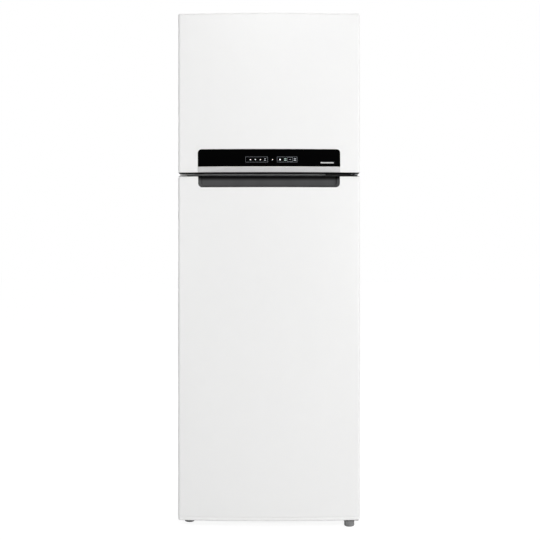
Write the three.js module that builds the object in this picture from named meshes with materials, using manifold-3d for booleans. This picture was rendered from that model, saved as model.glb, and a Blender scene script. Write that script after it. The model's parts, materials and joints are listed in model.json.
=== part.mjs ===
// Top freezer refrigerator: a foamed steel cabinet with two right-hung doors, its cold circuit,
// and its shelves, bins and drawers. Millimetres, X to the right, Y to the back, Z up, with the
// origin on the floor under the middle.
import * as THREE from "three";
import { mergeVertices } from "three/addons/utils/BufferGeometryUtils.js";
import Module from "manifold-3d";

const wasm = await Module();
wasm.setup();

// Overall size
const HALF_WIDTH = 310;
const FRONT_Y = -345;
const BACK_Y = 345;
const TOP_Z = 1757;
const GAP = 0.3;

// Cabinet
const CABINET = { half: 309, front: -262, back: 305, low: 27, high: 1746 };
const SHEET = 1;
const FLANGE_WIDTH = 24;
const LINER_WALL = 1.5;
const FREEZER = { half: 252, back: 238, low: 1235, high: 1684 };
const FRIDGE = { half: 265, back: 251, low: 88, high: 1170 };
const STEP = { front: 62, top: 262 };
const NICHE = { front: 108, top: 216 };
const RAIL = { low: 1186, high: 1218 };

// Doors: plan outline, heights and the raised ring on the inner face
const DOOR_BACK = -275;
const DOOR_CROWN = 16;
const DOOR_EDGE_RADIUS = 6;
const DOOR_HEM = 14;
const CAP_PLUG = 12;
const FREEZER_DOOR = {
  low: 1209.2,
  high: 1750,
  bottomCap: 5,
  topCap: 4,
  cavity: FREEZER,
  seal: [1214, 1719],
};
const FRIDGE_DOOR = {
  low: 24.5,
  high: 1195.6,
  bottomCap: 14,
  topCap: 5,
  cavity: FRIDGE,
  seal: [60, 1190],
};
const DIKE = { inset: 18, width: 26, depth: 43, endInset: 14 };
const GASKET = { outer: 291, width: 19 };

// Hinge line on the right, and its pins
const HINGE = { x: 292, y: -300, pin: 4.5, hole: 5, plate: 3 };

// Front panel, strip and handle recess
const PANEL = { half: 242, low: 1230, high: 1287.8, radius: 12, thickness: 3, reach: [FRONT_Y - 2, -310] };
const SOLE = { depth: 14, thickness: 2 };
const RECESS = { half: 241, depth: 30, height: 36, radius: 14, wall: 2 };

// Shelves, and the ledges on the liners that carry them
const SHELF_FRONT = -150;
const SHELF_BACK = 210;
const SHELF_LEVELS = [540, 780, 1020];
const FREEZER_SHELF = { level: 1450, back: 172 };
const GLASS = 4;
const SIDE_PLAY = 2;
const LEDGE = { reach: 7, back: 168, height: 9.2 };

// Drawers and bins. The drawers clear the door gasket as they slide
const BIN_WALL = 2;
const BIN_PLAY = 1.5;
const DRAWER_HALF = FRIDGE.half - 14;
const CRISPER = { low: 88.6, high: 260, back: 56 };
const CHILL = { low: 1024.6, high: 1118, back: 150 };
const CRISPER_COVER = { low: 272, high: 284, lip: 12, back: 214, rimDrop: 7, rail: 10 };
const SLIDER = { travel: 40, half: 8, tongue: 4 };
const FREEZER_BIN = { inner: -192, ends: [1400, 1480] };
const MIDDLE_BIN = { inner: -178, ends: [620, 700] };
const BOTTLE_BIN = { inner: -170, ends: [130, 240] };
const DAIRY = { low: 958, high: 1035, inner: -172, pivotY: -256, pivotZ: 1041, pin: 2.5, hole: 3, ear: 8 };
const ICE = {
  axisZ: 1392,
  axes: [-184.5, -67.5],
  half: 46,
  depth: 13,
  front: -126,
  back: 76,
  pin: 4,
  hole: 4.6,
  rows: 6,
  dividerTop: 5,
};
const ICE_BIN = { x: [-240, -12], y: [-140, 84], high: 1332, radius: 12 };

// Cold circuit and air
const COMPRESSOR = { x: 30, y: 205, radius: 76, height: 152 };
const CONDENSER = { half: 246, low: 330, passes: 10, pitch: 130, y: 336, radius: 2.5, bend: 20, wires: 11 };
const BRACKET = { near: 14, far: 22, halfHeight: 8, passes: [0.5, 4.5, 8.5] };
const EVAPORATOR = { half: 180, front: 186, back: 230, low: 1262, high: 1442, fins: 15 };
const EVAPORATOR_COVER = { front: 176, back: 180, high: 1662, slots: 11, pitch: 42, slot: [1244, 1252] };
const FAN = { z: 1560, radius: 48, hub: 15, front: 190, back: 204, blades: 5, pitch: 28 };
const AIR_DUCT = { half: 70, front: 218, low: 300, high: 1166, wall: 2.5 };
const AIR_VENT = { across: [22, 54], rise: [60, 68] };
const AIR_PASSAGE_FRONT = 221;
const FLAP = { z: 1136, depth: 22, pin: 1.6, hole: 2.1 };
const GLAND = { x: 240, z: 50, hole: 7, bore: 3.4 };

// Feet and rollers
const FOOT = {
  left: [-276.5, -244],
  right: [275, -305],
  radius: 17.5,
  height: 15,
  ribs: 22,
  stem: 4,
  stemHole: 4.5,
  stemTop: 23.4,
  boss: 15,
  bossLow: 15.3,
};
const ROLLER = { x: 250, y: 262, radius: 12.5, width: 16, axle: 3, bore: 3.5, earDepth: 10, earLow: 6 };

// A length past every side of the part, for cutters that run right through
const FAR = 400;

const finish = (color, roughness, metalness = 0) =>
  new THREE.MeshStandardMaterial({ color, roughness, metalness });
const WHITE_PAINT = finish(0xf4f4f2, 0.32);
const WHITE_CAP = finish(0xf2f2f0, 0.4);
const WHITE_LINER = finish(0xf3f5f6, 0.35);
const GASKET_VINYL = finish(0xe6e7e8, 0.6);
const FOAM = finish(0xe9dcae, 0.95);
const GLOSS_BLACK = finish(0x050506, 0.08);
const BRUSHED_SILVER = finish(0xc4c6c8, 0.3, 1);
const DARK_PLASTIC = finish(0x3b3d40, 0.5);
const BLACK_STEEL = finish(0x18191a, 0.45, 0.4);
const ZINC_STEEL = finish(0xaeb3b8, 0.38, 1);
const GREY_RUBBER = finish(0x5c5e60, 0.7);
const ALUMINIUM = finish(0xc9cdd0, 0.35, 1);
const CLEAR_PLASTIC = finish(0xdbe6ea, 0.12);
const SHELF_GLASS = finish(0xcfe5df, 0.05);
const LAMP_WHITE = finish(0xf7f3e6, 0.25);

// A three.js geometry as a manifold solid.
function solidOf(geometry) {
  geometry.deleteAttribute("normal");
  geometry.deleteAttribute("uv");
  const merged = mergeVertices(geometry, 1e-4);
  return new wasm.Manifold(
    new wasm.Mesh({
      numProp: 3,
      vertProperties: merged.attributes.position.array,
      triVerts: new Uint32Array(merged.index.array),
    }),
  );
}

// A manifold solid as a named mesh.
function part(name, solid, material, [x, y, z] = [0, 0, 0]) {
  const { vertProperties, triVerts } = solid.getMesh();
  const geometry = new THREE.BufferGeometry();
  geometry.setAttribute("position", new THREE.BufferAttribute(vertProperties, 3));
  geometry.setIndex(new THREE.BufferAttribute(triVerts, 1));
  const mesh = new THREE.Mesh(geometry.toNonIndexed(), material);
  mesh.geometry.computeVertexNormals();
  mesh.name = name;
  mesh.position.set(x, y, z);
  return mesh;
}

function box([x0, x1], [y0, y1], [z0, z1]) {
  const geometry = new THREE.BoxGeometry(x1 - x0, y1 - y0, z1 - z0);
  return solidOf(geometry.translate((x0 + x1) / 2, (y0 + y1) / 2, (z0 + z1) / 2));
}

// Turns a geometry made along Z (prisms) so that it lies along another axis.
const ALONG = {
  x: new THREE.Matrix4().makeBasis(
    new THREE.Vector3(0, 1, 0),
    new THREE.Vector3(0, 0, 1),
    new THREE.Vector3(1, 0, 0),
  ),
  y: new THREE.Matrix4().makeBasis(
    new THREE.Vector3(0, 0, 1),
    new THREE.Vector3(1, 0, 0),
    new THREE.Vector3(0, 1, 0),
  ),
  z: new THREE.Matrix4(),
};

// A shape extruded along an axis. Its plane is YZ for x, ZX for y and XY for z.
function prism(axis, shape, [from, to], curveSegments = 3) {
  const geometry = new THREE.ExtrudeGeometry(shape, {
    depth: to - from,
    bevelEnabled: false,
    curveSegments,
  });
  return solidOf(geometry.translate(0, 0, from).applyMatrix4(ALONG[axis]));
}

// A round bar along an axis; centre gives the other two coordinates in X, Y, Z order.
function rod(axis, radius, [a, b], [from, to], sides = 16) {
  const geometry = new THREE.CylinderGeometry(radius, radius, to - from, sides);
  geometry.rotateX(Math.PI / 2).translate(0, 0, (from + to) / 2);
  geometry.applyMatrix4(ALONG[axis]);
  const [x, y, z] = { x: [0, a, b], y: [a, 0, b], z: [a, b, 0] }[axis];
  return solidOf(geometry.translate(x, y, z));
}

function turned(profile, segments) {
  const points = profile.map(([radius, height]) => new THREE.Vector2(radius, height));
  return solidOf(new THREE.LatheGeometry(points, segments).rotateX(Math.PI / 2));
}

const union = (...solids) => solids.reduce((all, next) => all.add(next));
const less = (solid, ...cutters) => cutters.reduce((rest, cutter) => rest.subtract(cutter), solid);
const mirrored = (make) => union(make(-1), make(1));
const span = (half) => [-half, half];
const sided = (side, near, far) => (side > 0 ? [near, far] : [-far, -near]);

function polygon(points) {
  return new THREE.Shape(points.map(([u, v]) => new THREE.Vector2(u, v)));
}

function roundedRect([u0, u1], [v0, v1], radius) {
  const shape = new THREE.Shape();
  shape.absarc(u1 - radius, v0 + radius, radius, -Math.PI / 2, 0, false);
  shape.absarc(u1 - radius, v1 - radius, radius, 0, Math.PI / 2, false);
  shape.absarc(u0 + radius, v1 - radius, radius, Math.PI / 2, Math.PI, false);
  shape.absarc(u0 + radius, v0 + radius, radius, Math.PI, 1.5 * Math.PI, false);
  return shape;
}

// An open-topped bin with rounded upright corners.
function tub([x0, x1], [y0, y1], [z0, z1], radius = 8, wall = BIN_WALL) {
  const outer = prism("z", roundedRect([x0, x1], [y0, y1], radius), [z0, z1], 2);
  const hollow = roundedRect([x0 + wall, x1 - wall], [y0 + wall, y1 - wall], radius - wall);
  return less(outer, prism("z", hollow, [z0 + wall, z1 + wall], 2));
}

// A path through corner points with round bends, stepped once per straight and a few times per bend.
class BentPath extends THREE.Curve {
  constructor(corners, bendRadius, bendSteps = 3) {
    super();
    const points = corners.map((corner) => new THREE.Vector3(...corner));
    this.stations = [points[0]];
    for (let i = 1; i < points.length - 1; i += 1) {
      const inward = points[i - 1].clone().sub(points[i]).normalize();
      const outward = points[i + 1].clone().sub(points[i]).normalize();
      const half = inward.angleTo(outward) / 2;
      const start = points[i].clone().addScaledVector(inward, bendRadius / Math.tan(half));
      const middle = inward.clone().add(outward).normalize();
      const centre = points[i].clone().addScaledVector(middle, bendRadius / Math.sin(half));
      const axis = outward.clone().cross(inward).normalize();
      const arm = start.sub(centre);
      for (let step = 0; step <= bendSteps; step += 1) {
        const angle = ((Math.PI - 2 * half) * step) / bendSteps;
        this.stations.push(arm.clone().applyAxisAngle(axis, angle).add(centre));
      }
    }
    this.stations.push(points[points.length - 1]);
  }

  getPoint(t, target = new THREE.Vector3()) {
    const place = t * (this.stations.length - 1);
    const index = Math.min(Math.floor(place), this.stations.length - 2);
    return target.lerpVectors(this.stations[index], this.stations[index + 1], place - index);
  }

  getUtoTmapping(u) {
    return u;
  }
}

function bentTube(corners, bendRadius, radius, sides = 6) {
  const path = new BentPath(corners, bendRadius);
  const ring = new THREE.Shape().absarc(0, 0, radius, 0, 2 * Math.PI, false);
  const section = new THREE.Shape(ring.getSpacedPoints(sides).slice(0, sides));
  const steps = path.stations.length - 1;
  return solidOf(new THREE.ExtrudeGeometry(section, { steps, extrudePath: path }));
}

// ---- Cabinet ----

function cabinetWrapper() {
  const { half, front, back, low, high } = CABINET;
  const shell = (inset, bottom, ends) => {
    const outline = roundedRect([bottom, high - inset], span(half - inset), DOOR_EDGE_RADIUS - inset);
    return prism("y", outline, ends);
  };
  const foot = box(span(half + 1), [front - 1, back + 1], [low - 40, low]);
  const body = less(
    shell(0, low - 20, [front, back - SHEET - GAP]),
    shell(SHEET, low - 30, [front - 1, back]),
    foot,
  );
  const inner = half - FLANGE_WIDTH;
  const frame = less(
    box(span(half - SHEET / 2), [front, front + SHEET], [low, high - SHEET / 2 - 5]),
    box(span(inner), [front - 1, front + 2], [low - 1, high - FLANGE_WIDTH]),
  );
  const across = span(half - DOOR_EDGE_RADIUS);
  const topFlange = box(across, [front, front + SHEET], [high - FLANGE_WIDTH, high - SHEET / 2]);
  return union(body, frame, topFlange);
}

function rearPanel() {
  const { half, back, high } = CABINET;
  return box(span(half - 2), [back - SHEET, back], [NICHE.top + 2, high - 2]);
}

// Stamped base: deck, front rail, niche sides, a boss for the left foot, ears with axles for the rollers.
function baseDeck() {
  const { half, front, back, low } = CABINET;
  const inside = half - SHEET - GAP;
  const deckTop = low + 3;
  const deck = box(span(inside), [front + SHEET + GAP, back - 6], [low, deckTop]);
  const rail = box(span(inside - FLANGE_WIDTH), [front, front + SHEET + GAP + 1], [low, 55.7]);
  const sides = mirrored((side) =>
    box(sided(side, inside - 3, inside), [NICHE.front, back - 6], [low, NICHE.top]),
  );
  const rearLip = box([176, inside], [back - 9, back - 6], [low, 70]);
  const boss = rod("z", FOOT.boss, FOOT.left, [FOOT.bossLow, deckTop], 24);
  const ears = mirrored((side) => {
    const depth = [ROLLER.y - ROLLER.earDepth, ROLLER.y + ROLLER.earDepth];
    const ear = (offset) =>
      box(sided(side, ROLLER.x + offset, ROLLER.x + offset + 3), depth, [ROLLER.earLow, low + 1]);
    const axleEnds = sided(side, ROLLER.x - 12, ROLLER.x + 12);
    return union(ear(-14), ear(11), rod("x", ROLLER.axle, [ROLLER.y, ROLLER.radius], axleEnds, 12));
  });
  const footHole = rod("z", FOOT.stemHole, FOOT.left, [0, 60], 12);
  const glandHole = rod("y", GLAND.hole, [GLAND.x, GLAND.z], [back - 12, back], 16);
  return less(union(deck, rail, sides, rearLip, boss, ears), footHole, glandHole);
}

// The moulded inner boxes, as inner volume, plastic shell and the room left for the shell in the foam.
function freezerVolume(grow) {
  const { half, back, low, high } = FREEZER;
  return box(span(half + grow), [CABINET.front - 1, back + grow], [low - grow, high + grow]);
}

function fridgeVolume(grow) {
  const { half, back, low, high } = FRIDGE;
  const room = box(span(half + grow), [CABINET.front - 1, back + grow], [low - grow, high + grow]);
  const step = box(span(half + 10), [STEP.front + grow, back + 10], [low - 10, STEP.top - grow]);
  return less(room, step);
}

function ledges(half, levels) {
  return levels.map((level) => {
    const depth = [SHELF_FRONT, LEDGE.back];
    const ends = [level - GAP - LEDGE.height, level - GAP];
    return mirrored((side) => box(sided(side, half - LEDGE.reach, half + 1), depth, ends));
  });
}

function liner(volume, flange, { half, low, high }) {
  const { front } = CABINET;
  const shell = union(
    less(volume(LINER_WALL), box(span(FAR), [front - 2, front], [0, 2 * TOP_Z])),
    box(span(flange.half), [front, front + LINER_WALL], [flange.low, flange.high]),
  );
  const open = less(shell, volume(0));
  const mouth = box(span(half), [front - 1, front + 3], [low, high]);
  return less(open, mouth);
}

function freezerLiner() {
  const flange = {
    half: CABINET.half - FLANGE_WIDTH - GAP,
    low: RAIL.high + GAP,
    high: CABINET.high - FLANGE_WIDTH - GAP,
  };
  const shell = less(liner(freezerVolume, flange, FREEZER), airPassage(0));
  return union(shell, ...ledges(FREEZER.half, [FREEZER_SHELF.level]));
}

function fridgeLiner() {
  const flange = { half: CABINET.half - FLANGE_WIDTH - GAP, low: 56, high: RAIL.low - GAP };
  return union(
    less(liner(fridgeVolume, flange, FRIDGE), airPassage(0)),
    ...ledges(FRIDGE.half, [...SHELF_LEVELS, CRISPER_COVER.low]),
  );
}

function cabinetFoam() {
  const inside = CABINET.half - SHEET - GAP;
  const front = CABINET.front + LINER_WALL + GAP + 0.5;
  const back = CABINET.back - SHEET - GAP;
  const top = CABINET.high - SHEET - GAP;
  const block = box(span(inside), [front, back], [CABINET.low + 3 + GAP, top]);
  const niche = box(span(FAR), [NICHE.front - GAP, back + 1], [0, NICHE.top + GAP]);
  const corners = mirrored((side) =>
    box(sided(side, inside - 4, inside + 1), [front - 1, back + 1], [top - 4, top + 1]),
  );
  const footRoom = rod("z", FOOT.stemHole, FOOT.left, [0, 60], 12);
  const railBack = box(span(FRIDGE.half + 21), [front - 1, front + 2], [0, 58]);
  const room = LINER_WALL + GAP;
  const compartments = [freezerVolume(room), fridgeVolume(room), airPassage(GAP)];
  return less(block, niche, corners, footRoom, railBack, ...compartments);
}

// The passage that carries cold air and melt water down through the middle wall.
function airPassage(grow) {
  const depth = [AIR_PASSAGE_FRONT - grow, FREEZER.back - 3 + grow];
  return box(span(AIR_DUCT.half - 10 + grow), depth, [FRIDGE.high - 5, FREEZER.low + 5]);
}

function middleRail() {
  const { half, front } = CABINET;
  return box(span(half - FLANGE_WIDTH - GAP), [front, front + LINER_WALL], [RAIL.low, RAIL.high]);
}

// ---- Hinges ----

function hingePin([from, to]) {
  return rod("z", HINGE.pin, [HINGE.x, HINGE.y], [from, to]);
}

function topHinge() {
  const { high, front } = CABINET;
  const armLow = FREEZER_DOOR.high + 0.4;
  const base = box([264, 304], [front, front + 62], [high + GAP, high + GAP + HINGE.plate]);
  const riser = box([280, 304], [front, front + 3], [high + GAP, armLow + HINGE.plate]);
  const arm = box([280, 304], [HINGE.y, front + 3], [armLow, armLow + HINGE.plate]);
  const nose = rod("z", 12, [HINGE.x, HINGE.y], [armLow, armLow + HINGE.plate], 24);
  const screws = [-238, -216].map((y) => rod("z", 5, [278, y], [high + 3, high + 6.5], 12));
  return union(base, riser, arm, nose, ...screws, hingePin([FREEZER_DOOR.high - 12, armLow + 1]));
}

function topHingeCover() {
  const { high, front } = CABINET;
  const doorTop = FREEZER_DOOR.high + 0.4;
  const outline = polygon([
    [front + 72, high + GAP],
    [front + 68, TOP_Z - 2],
    [front + 60, TOP_Z],
    [HINGE.y + 4, TOP_Z],
    [HINGE.y - 15, TOP_Z - 3],
    [HINGE.y - 15, doorTop],
    [front - 0.5, doorTop],
    [front - 0.5, high + GAP],
  ]);
  const hollow = box([257, 306.5], [HINGE.y - 13, front + 68], [high - 1, TOP_Z - 1.6]);
  return less(prism("x", outline, [255, 308.5]), hollow);
}

function middleHinge() {
  const { front } = CABINET;
  const centre = (FREEZER_DOOR.low + FRIDGE_DOOR.high) / 2;
  const plateEnds = [centre - HINGE.plate / 2, centre + HINGE.plate / 2];
  const plate = box([196, 304], [-290, front - GAP], plateEnds);
  const nose = rod("z", 11, [HINGE.x, HINGE.y], plateEnds, 24);
  const arm = box([281, 303], [HINGE.y, -285], plateEnds);
  const flange = box([196, 284], [front - GAP - HINGE.plate, front - GAP], [centre - 10, centre + 10]);
  const screws = [212, 268].map((x) => rod("y", 4, [x, centre - 5.5], [front - 6, front - 3], 12));
  const pin = hingePin([FRIDGE_DOOR.high - 12, FREEZER_DOOR.low + 12]);
  return union(plate, nose, arm, flange, ...screws, pin);
}

function bottomHinge() {
  const { front } = CABINET;
  const plate = box([254, 306], [-314, front - GAP], [20, 23]);
  const flange = box([200, 284], [front - GAP - HINGE.plate, front - GAP], [20, 52]);
  const boss = rod("z", FOOT.boss, FOOT.right, [FOOT.bossLow, 21], 24);
  const pin = hingePin([21, FRIDGE_DOOR.low + 12]);
  return less(union(plate, flange, boss, pin), rod("z", FOOT.stemHole, FOOT.right, [10, 25], 12));
}

// ---- Feet and rollers ----

// A levelling foot: ribbed rim, chamfered below, on a screw that runs in the boss above it.
function foot() {
  const rim = new THREE.Shape();
  for (let i = 0; i < 2 * FOOT.ribs; i += 1) {
    const radius = FOOT.radius - (i % 2);
    const angle = (Math.PI * i) / FOOT.ribs;
    const [x, y] = [radius * Math.cos(angle), radius * Math.sin(angle)];
    if (i) rim.lineTo(x, y);
    else rim.moveTo(x, y);
  }
  const pad = turned([[0, 0], [14, 0], [16, 3], [0, 3]], 22);
  const screw = rod("z", FOOT.stem, [0, 0], [FOOT.height - 1, FOOT.stemTop], 12);
  return union(pad, prism("z", rim, [2.5, FOOT.height]), screw);
}

function roller() {
  const ends = span(ROLLER.width / 2);
  const wheel = rod("x", ROLLER.radius, [0, 0], ends, 24);
  return less(wheel, rod("x", ROLLER.bore, [0, 0], span(ROLLER.width), 12));
}

// ---- Cold circuit ----

function compressor() {
  const { radius, height } = COMPRESSOR;
  const low = CABINET.low + 3 + GAP;
  const shell = turned(
    [
      [0, 10],
      [radius * 0.8, 10],
      [radius * 0.96, 24],
      [radius, 46],
      [radius, 84],
      [radius + 3, 86],
      [radius + 3, 90],
      [radius - 1, 92],
      [radius * 0.93, height - 26],
      [radius * 0.72, height - 8],
      [radius * 0.4, height],
      [0, height],
    ],
    28,
  );
  const cradle = box(span(104), [-52, 52], [8, 11]);
  const feet = [-92, 92].flatMap((x) => [-40, 40].map((y) => rod("z", 10, [x, y], [0, 9], 14)));
  return union(shell, cradle, ...feet).translate([COMPRESSOR.x, COMPRESSOR.y, low]);
}

function relayBox() {
  const x = COMPRESSOR.x + COMPRESSOR.radius + 4;
  const outline = roundedRect([COMPRESSOR.y - 26, COMPRESSOR.y + 26], [78, 140], 6);
  return prism("x", outline, [x, x + 34], 2);
}

function drainPan() {
  const low = CABINET.low + 3 + COMPRESSOR.height + 3;
  return tub([COMPRESSOR.x - 108, COMPRESSOR.x + 108], [132, 288], [low, low + 26], 14);
}

// Serpentine tube on the back, with its feed from the compressor.
function condenserCoil() {
  const { half, low, passes, pitch, y, radius } = CONDENSER;
  const outletX = COMPRESSOR.x - COMPRESSOR.radius * 0.95 - GAP;
  const outletZ = 150;
  const corners = [
    [outletX, COMPRESSOR.y, outletZ],
    [outletX - 50, COMPRESSOR.y, outletZ],
    [outletX - 50, y - 50, outletZ],
    [-half, y - 50, outletZ],
    [-half, y, outletZ + 90],
  ];
  for (let pass = 0; pass < passes; pass += 1) {
    const side = pass % 2 ? 1 : -1;
    corners.push([side * half, y, low + pass * pitch], [-side * half, y, low + pass * pitch]);
  }
  return bentTube(corners, CONDENSER.bend, radius);
}

// Upright wires behind the tube, on cross straps whose ends stand on the rear panel.
function condenserWires() {
  const { half, low, passes, pitch, y, radius, bend, wires } = CONDENSER;
  const behind = y + radius + GAP;
  const top = low + (passes - 1) * pitch + bend;
  const reach = half - BRACKET.near;
  const solids = [];
  for (let i = 0; i < wires; i += 1) {
    const x = -reach + (2 * reach * i) / (wires - 1);
    solids.push(box([x - 0.8, x + 0.8], [behind, behind + 1.6], [low - bend, top]));
  }
  for (const pass of BRACKET.passes) {
    const level = low + pass * pitch;
    const ends = [level - BRACKET.halfHeight, level + BRACKET.halfHeight];
    solids.push(box(span(half + BRACKET.far), [behind + 1, behind + 3], ends));
    for (const side of [-1, 1]) {
      const post = sided(side, half + BRACKET.near, half + BRACKET.far);
      solids.push(box(post, [CABINET.back + GAP, BACK_Y], ends));
    }
  }
  return union(...solids);
}

function cordGland() {
  const back = CABINET.back - 6;
  const body = rod("y", GLAND.hole - GAP, [GLAND.x, GLAND.z], [back - 8, back + 2], 16);
  const collar = rod("y", GLAND.hole + 4, [GLAND.x, GLAND.z], [back + GAP, back + 6], 16);
  return less(union(body, collar), rod("y", GLAND.bore, [GLAND.x, GLAND.z], [back - 9, back + 7], 12));
}

function evaporator() {
  const { half, front, back, low, high, fins } = EVAPORATOR;
  const middle = (front + back) / 2;
  const solids = [box(span(half + 6), [middle - 1.5, middle + 1.5], [low + 12, high - 12])];
  for (let i = 0; i < fins; i += 1) {
    const x = -half + (2 * half * i) / (fins - 1);
    solids.push(box([x - 1, x + 1], [front, back], [low, high]));
  }
  for (const side of [-1, 1])
    for (const z of [low + 45, high - 45]) {
      const ends = sided(side, half + 4, half + 16);
      solids.push(rod("x", 5, [middle, z], ends, 10));
    }
  return union(...solids);
}

// Panel in front of the evaporator: round fan grille above, return slots below.
function evaporatorCover() {
  const { front, back, high, slots, pitch, slot } = EVAPORATOR_COVER;
  const through = [front - 6, back + 2];
  const grille = [front + 0.5, back - 0.5];
  const width = span(FREEZER.half - 1);
  const panel = box(width, [front, back], [FREEZER.low + 1, high]);
  const rim = box(width, [front, FREEZER.back - GAP], [high - 4, high]);
  const bars = [0, 45, 90, 135].map((angle) =>
    box(span(FAN.radius + 8), grille, span(2))
      .rotate([0, angle, 0])
      .translate([0, 0, FAN.z]),
  );
  const returns = [];
  for (let i = 0; i < slots; i += 1) {
    const x = (i - (slots - 1) / 2) * pitch;
    returns.push(box([x - 16, x + 16], through, slot));
  }
  const eye = rod("y", FAN.radius + 4, [0, FAN.z], through, 28);
  const hub = rod("y", FAN.hub + 1, [0, FAN.z], grille, 20);
  return union(less(union(panel, rim), eye, ...returns), ...bars, hub);
}

function evaporatorFan() {
  const { radius, hub, front, back, pitch } = FAN;
  const blades = [];
  for (let i = 0; i < FAN.blades; i += 1) {
    const blade = box([hub - 3, radius], [-1, 1], span(14)).rotate([pitch, 0, 0]);
    blades.push(blade.translate([0, (front + back) / 2, 0]).rotate([0, (360 * i) / FAN.blades, 0]));
  }
  const boss = rod("y", hub, [0, 0], [front, back], 20);
  const bore = rod("y", 3, [0, 0], [front + 5, back + 1], 12);
  return less(union(boss, ...blades), bore);
}

function fanMotor() {
  const can = rod("y", 24, [0, FAN.z], [FAN.back + 4, FREEZER.back - 4], 20);
  const shaft = rod("y", 2.4, [0, FAN.z], [FAN.front + 7, FAN.back + 5], 12);
  const strap = box(span(62), [FREEZER.back - 7, FREEZER.back - 4], [FAN.z - 8, FAN.z + 8]);
  return union(can, shaft, strap);
}

// ---- Fridge back duct and its flap ----

function airDuct() {
  const { half, front, low, high, wall } = AIR_DUCT;
  const back = FRIDGE.back - GAP;
  const outer = box(span(half), [front, back], [low, high]);
  const channel = box(span(half - wall), [front + wall, back - wall], [low + wall, high + 1]);
  const through = [front - 1, front + wall + 1];
  const vents = [low + 40, ...SHELF_LEVELS].map((level) => {
    const ends = [level + AIR_VENT.rise[0], level + AIR_VENT.rise[1]];
    return mirrored((side) => box(sided(side, ...AIR_VENT.across), through, ends));
  });
  const pivots = rod("x", FLAP.hole, [back - wall - 3, FLAP.z], span(half + 1), 12);
  return less(outer, channel, ...vents, pivots);
}

function damperFlap() {
  const half = AIR_DUCT.half - AIR_DUCT.wall - 0.5;
  const plate = box(span(half), [-FLAP.depth + 1, 0], span(1));
  return union(plate, rod("x", FLAP.pin, [0, 0], span(half + 2), 12));
}

// ---- Freezer inside ----

function freezerShelf() {
  const { level, back } = FREEZER_SHELF;
  return box(span(FREEZER.half - SIDE_PLAY), [SHELF_FRONT, back], [level, level + GLASS]);
}

function iceTrayFrame() {
  const [left, right] = [ICE.axes[0] - 58.5, ICE.axes[1] + 58.5];
  const high = FREEZER_SHELF.level - GAP;
  const ring = less(
    box([left, right], [ICE.front - 8, ICE.back + 8], [ICE.axisZ - 12, high]),
    box([left + 3, right - 3], [ICE.front - 4, ICE.back + 4], [ICE.axisZ - 13, high + 1]),
  );
  const holes = ICE.axes.map((x) => rod("y", ICE.hole, [x, ICE.axisZ], [ICE.front - 9, ICE.back + 9]));
  return less(ring, ...holes);
}

// A turning ice tray with its knob, about its own long axis. Its dividers stop below the rim.
function iceTray() {
  const { half, depth, front, back, pin, rows, dividerTop } = ICE;
  const pitch = (back - front - 4) / rows;
  const hollows = [box(span(half - 3), [front + 3, back - 3], [dividerTop, depth + 1])];
  for (let row = 0; row < rows; row += 1)
    for (const side of [-1, 1]) {
      const start = front + 3 + row * pitch;
      const cell = sided(side, 1.5, half - 3);
      hollows.push(box(cell, [start, start + pitch - 2], [-depth + 3, dividerTop + 1]));
    }
  const body = less(box(span(half), [front, back], span(depth)), ...hollows);
  const knob = rod("y", 14, [0, 0], [front - 19, front - 8 - GAP], 20);
  const grip = box(span(3), [front - 23, front - 18], span(13));
  const frontPin = rod("y", pin, [0, 0], [front - 9, front + 1], 14);
  const backPin = rod("y", pin, [0, 0], [back - 1, back + 7], 14);
  return union(body, knob, grip, frontPin, backPin);
}

function iceBin() {
  return tub(ICE_BIN.x, ICE_BIN.y, [FREEZER.low + GAP, ICE_BIN.high], ICE_BIN.radius);
}

// ---- Fridge inside ----

function glassShelf(level) {
  return box(span(FRIDGE.half - SIDE_PLAY), [SHELF_FRONT, SHELF_BACK], [level, level + GLASS]);
}

function crisperCover() {
  const { low, high, lip, back, rimDrop, rail } = CRISPER_COVER;
  const half = FRIDGE.half - SIDE_PLAY;
  const pane = box(span(half), [SHELF_FRONT, back], [high - GLASS, high]);
  const rim = box(span(half - LEDGE.reach), [SHELF_FRONT, SHELF_FRONT + lip], [low - rimDrop, high]);
  const sides = mirrored((side) => box(sided(side, half - rail, half), [SHELF_FRONT, back], [low, high]));
  const room = SLIDER.travel + SLIDER.tongue + 1;
  const through = [SHELF_FRONT - 1, SHELF_FRONT + lip + 1];
  const slot = box([-SLIDER.tongue - 1, room], through, [low, low + 4]);
  return less(union(pane, rim, sides), slot);
}

function humiditySlider() {
  const { low, lip } = CRISPER_COVER;
  const knob = box(span(SLIDER.half), [SHELF_FRONT - 6, SHELF_FRONT - GAP], [low - 4, low + 8]);
  const reach = [SHELF_FRONT - 1, SHELF_FRONT + lip + 4];
  const tongue = box(span(SLIDER.tongue), reach, [low + 0.5, low + 3.5]);
  const clip = box(span(7), [SHELF_FRONT + lip + GAP, SHELF_FRONT + lip + 3], [low - 3, low + 6]);
  return union(knob, tongue, clip);
}

// A pull-out drawer: tub with a thicker front that carries a finger lip.
function drawer(half, { low, high, back }) {
  const bin = tub(span(half - 4), [SHELF_FRONT + 2, back], [low, high - 8], 14);
  const face = box(span(half), [SHELF_FRONT, SHELF_FRONT + 4], [low, high]);
  const lip = box(span(half), [SHELF_FRONT, SHELF_FRONT + 16], [high - 3, high]);
  return union(bin, face, lip);
}

function lampCover() {
  return prism("z", roundedRect(span(56), [-118, -58], 10), [FRIDGE.high - 15, FRIDGE.high - GAP]);
}

// ---- Doors ----

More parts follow.
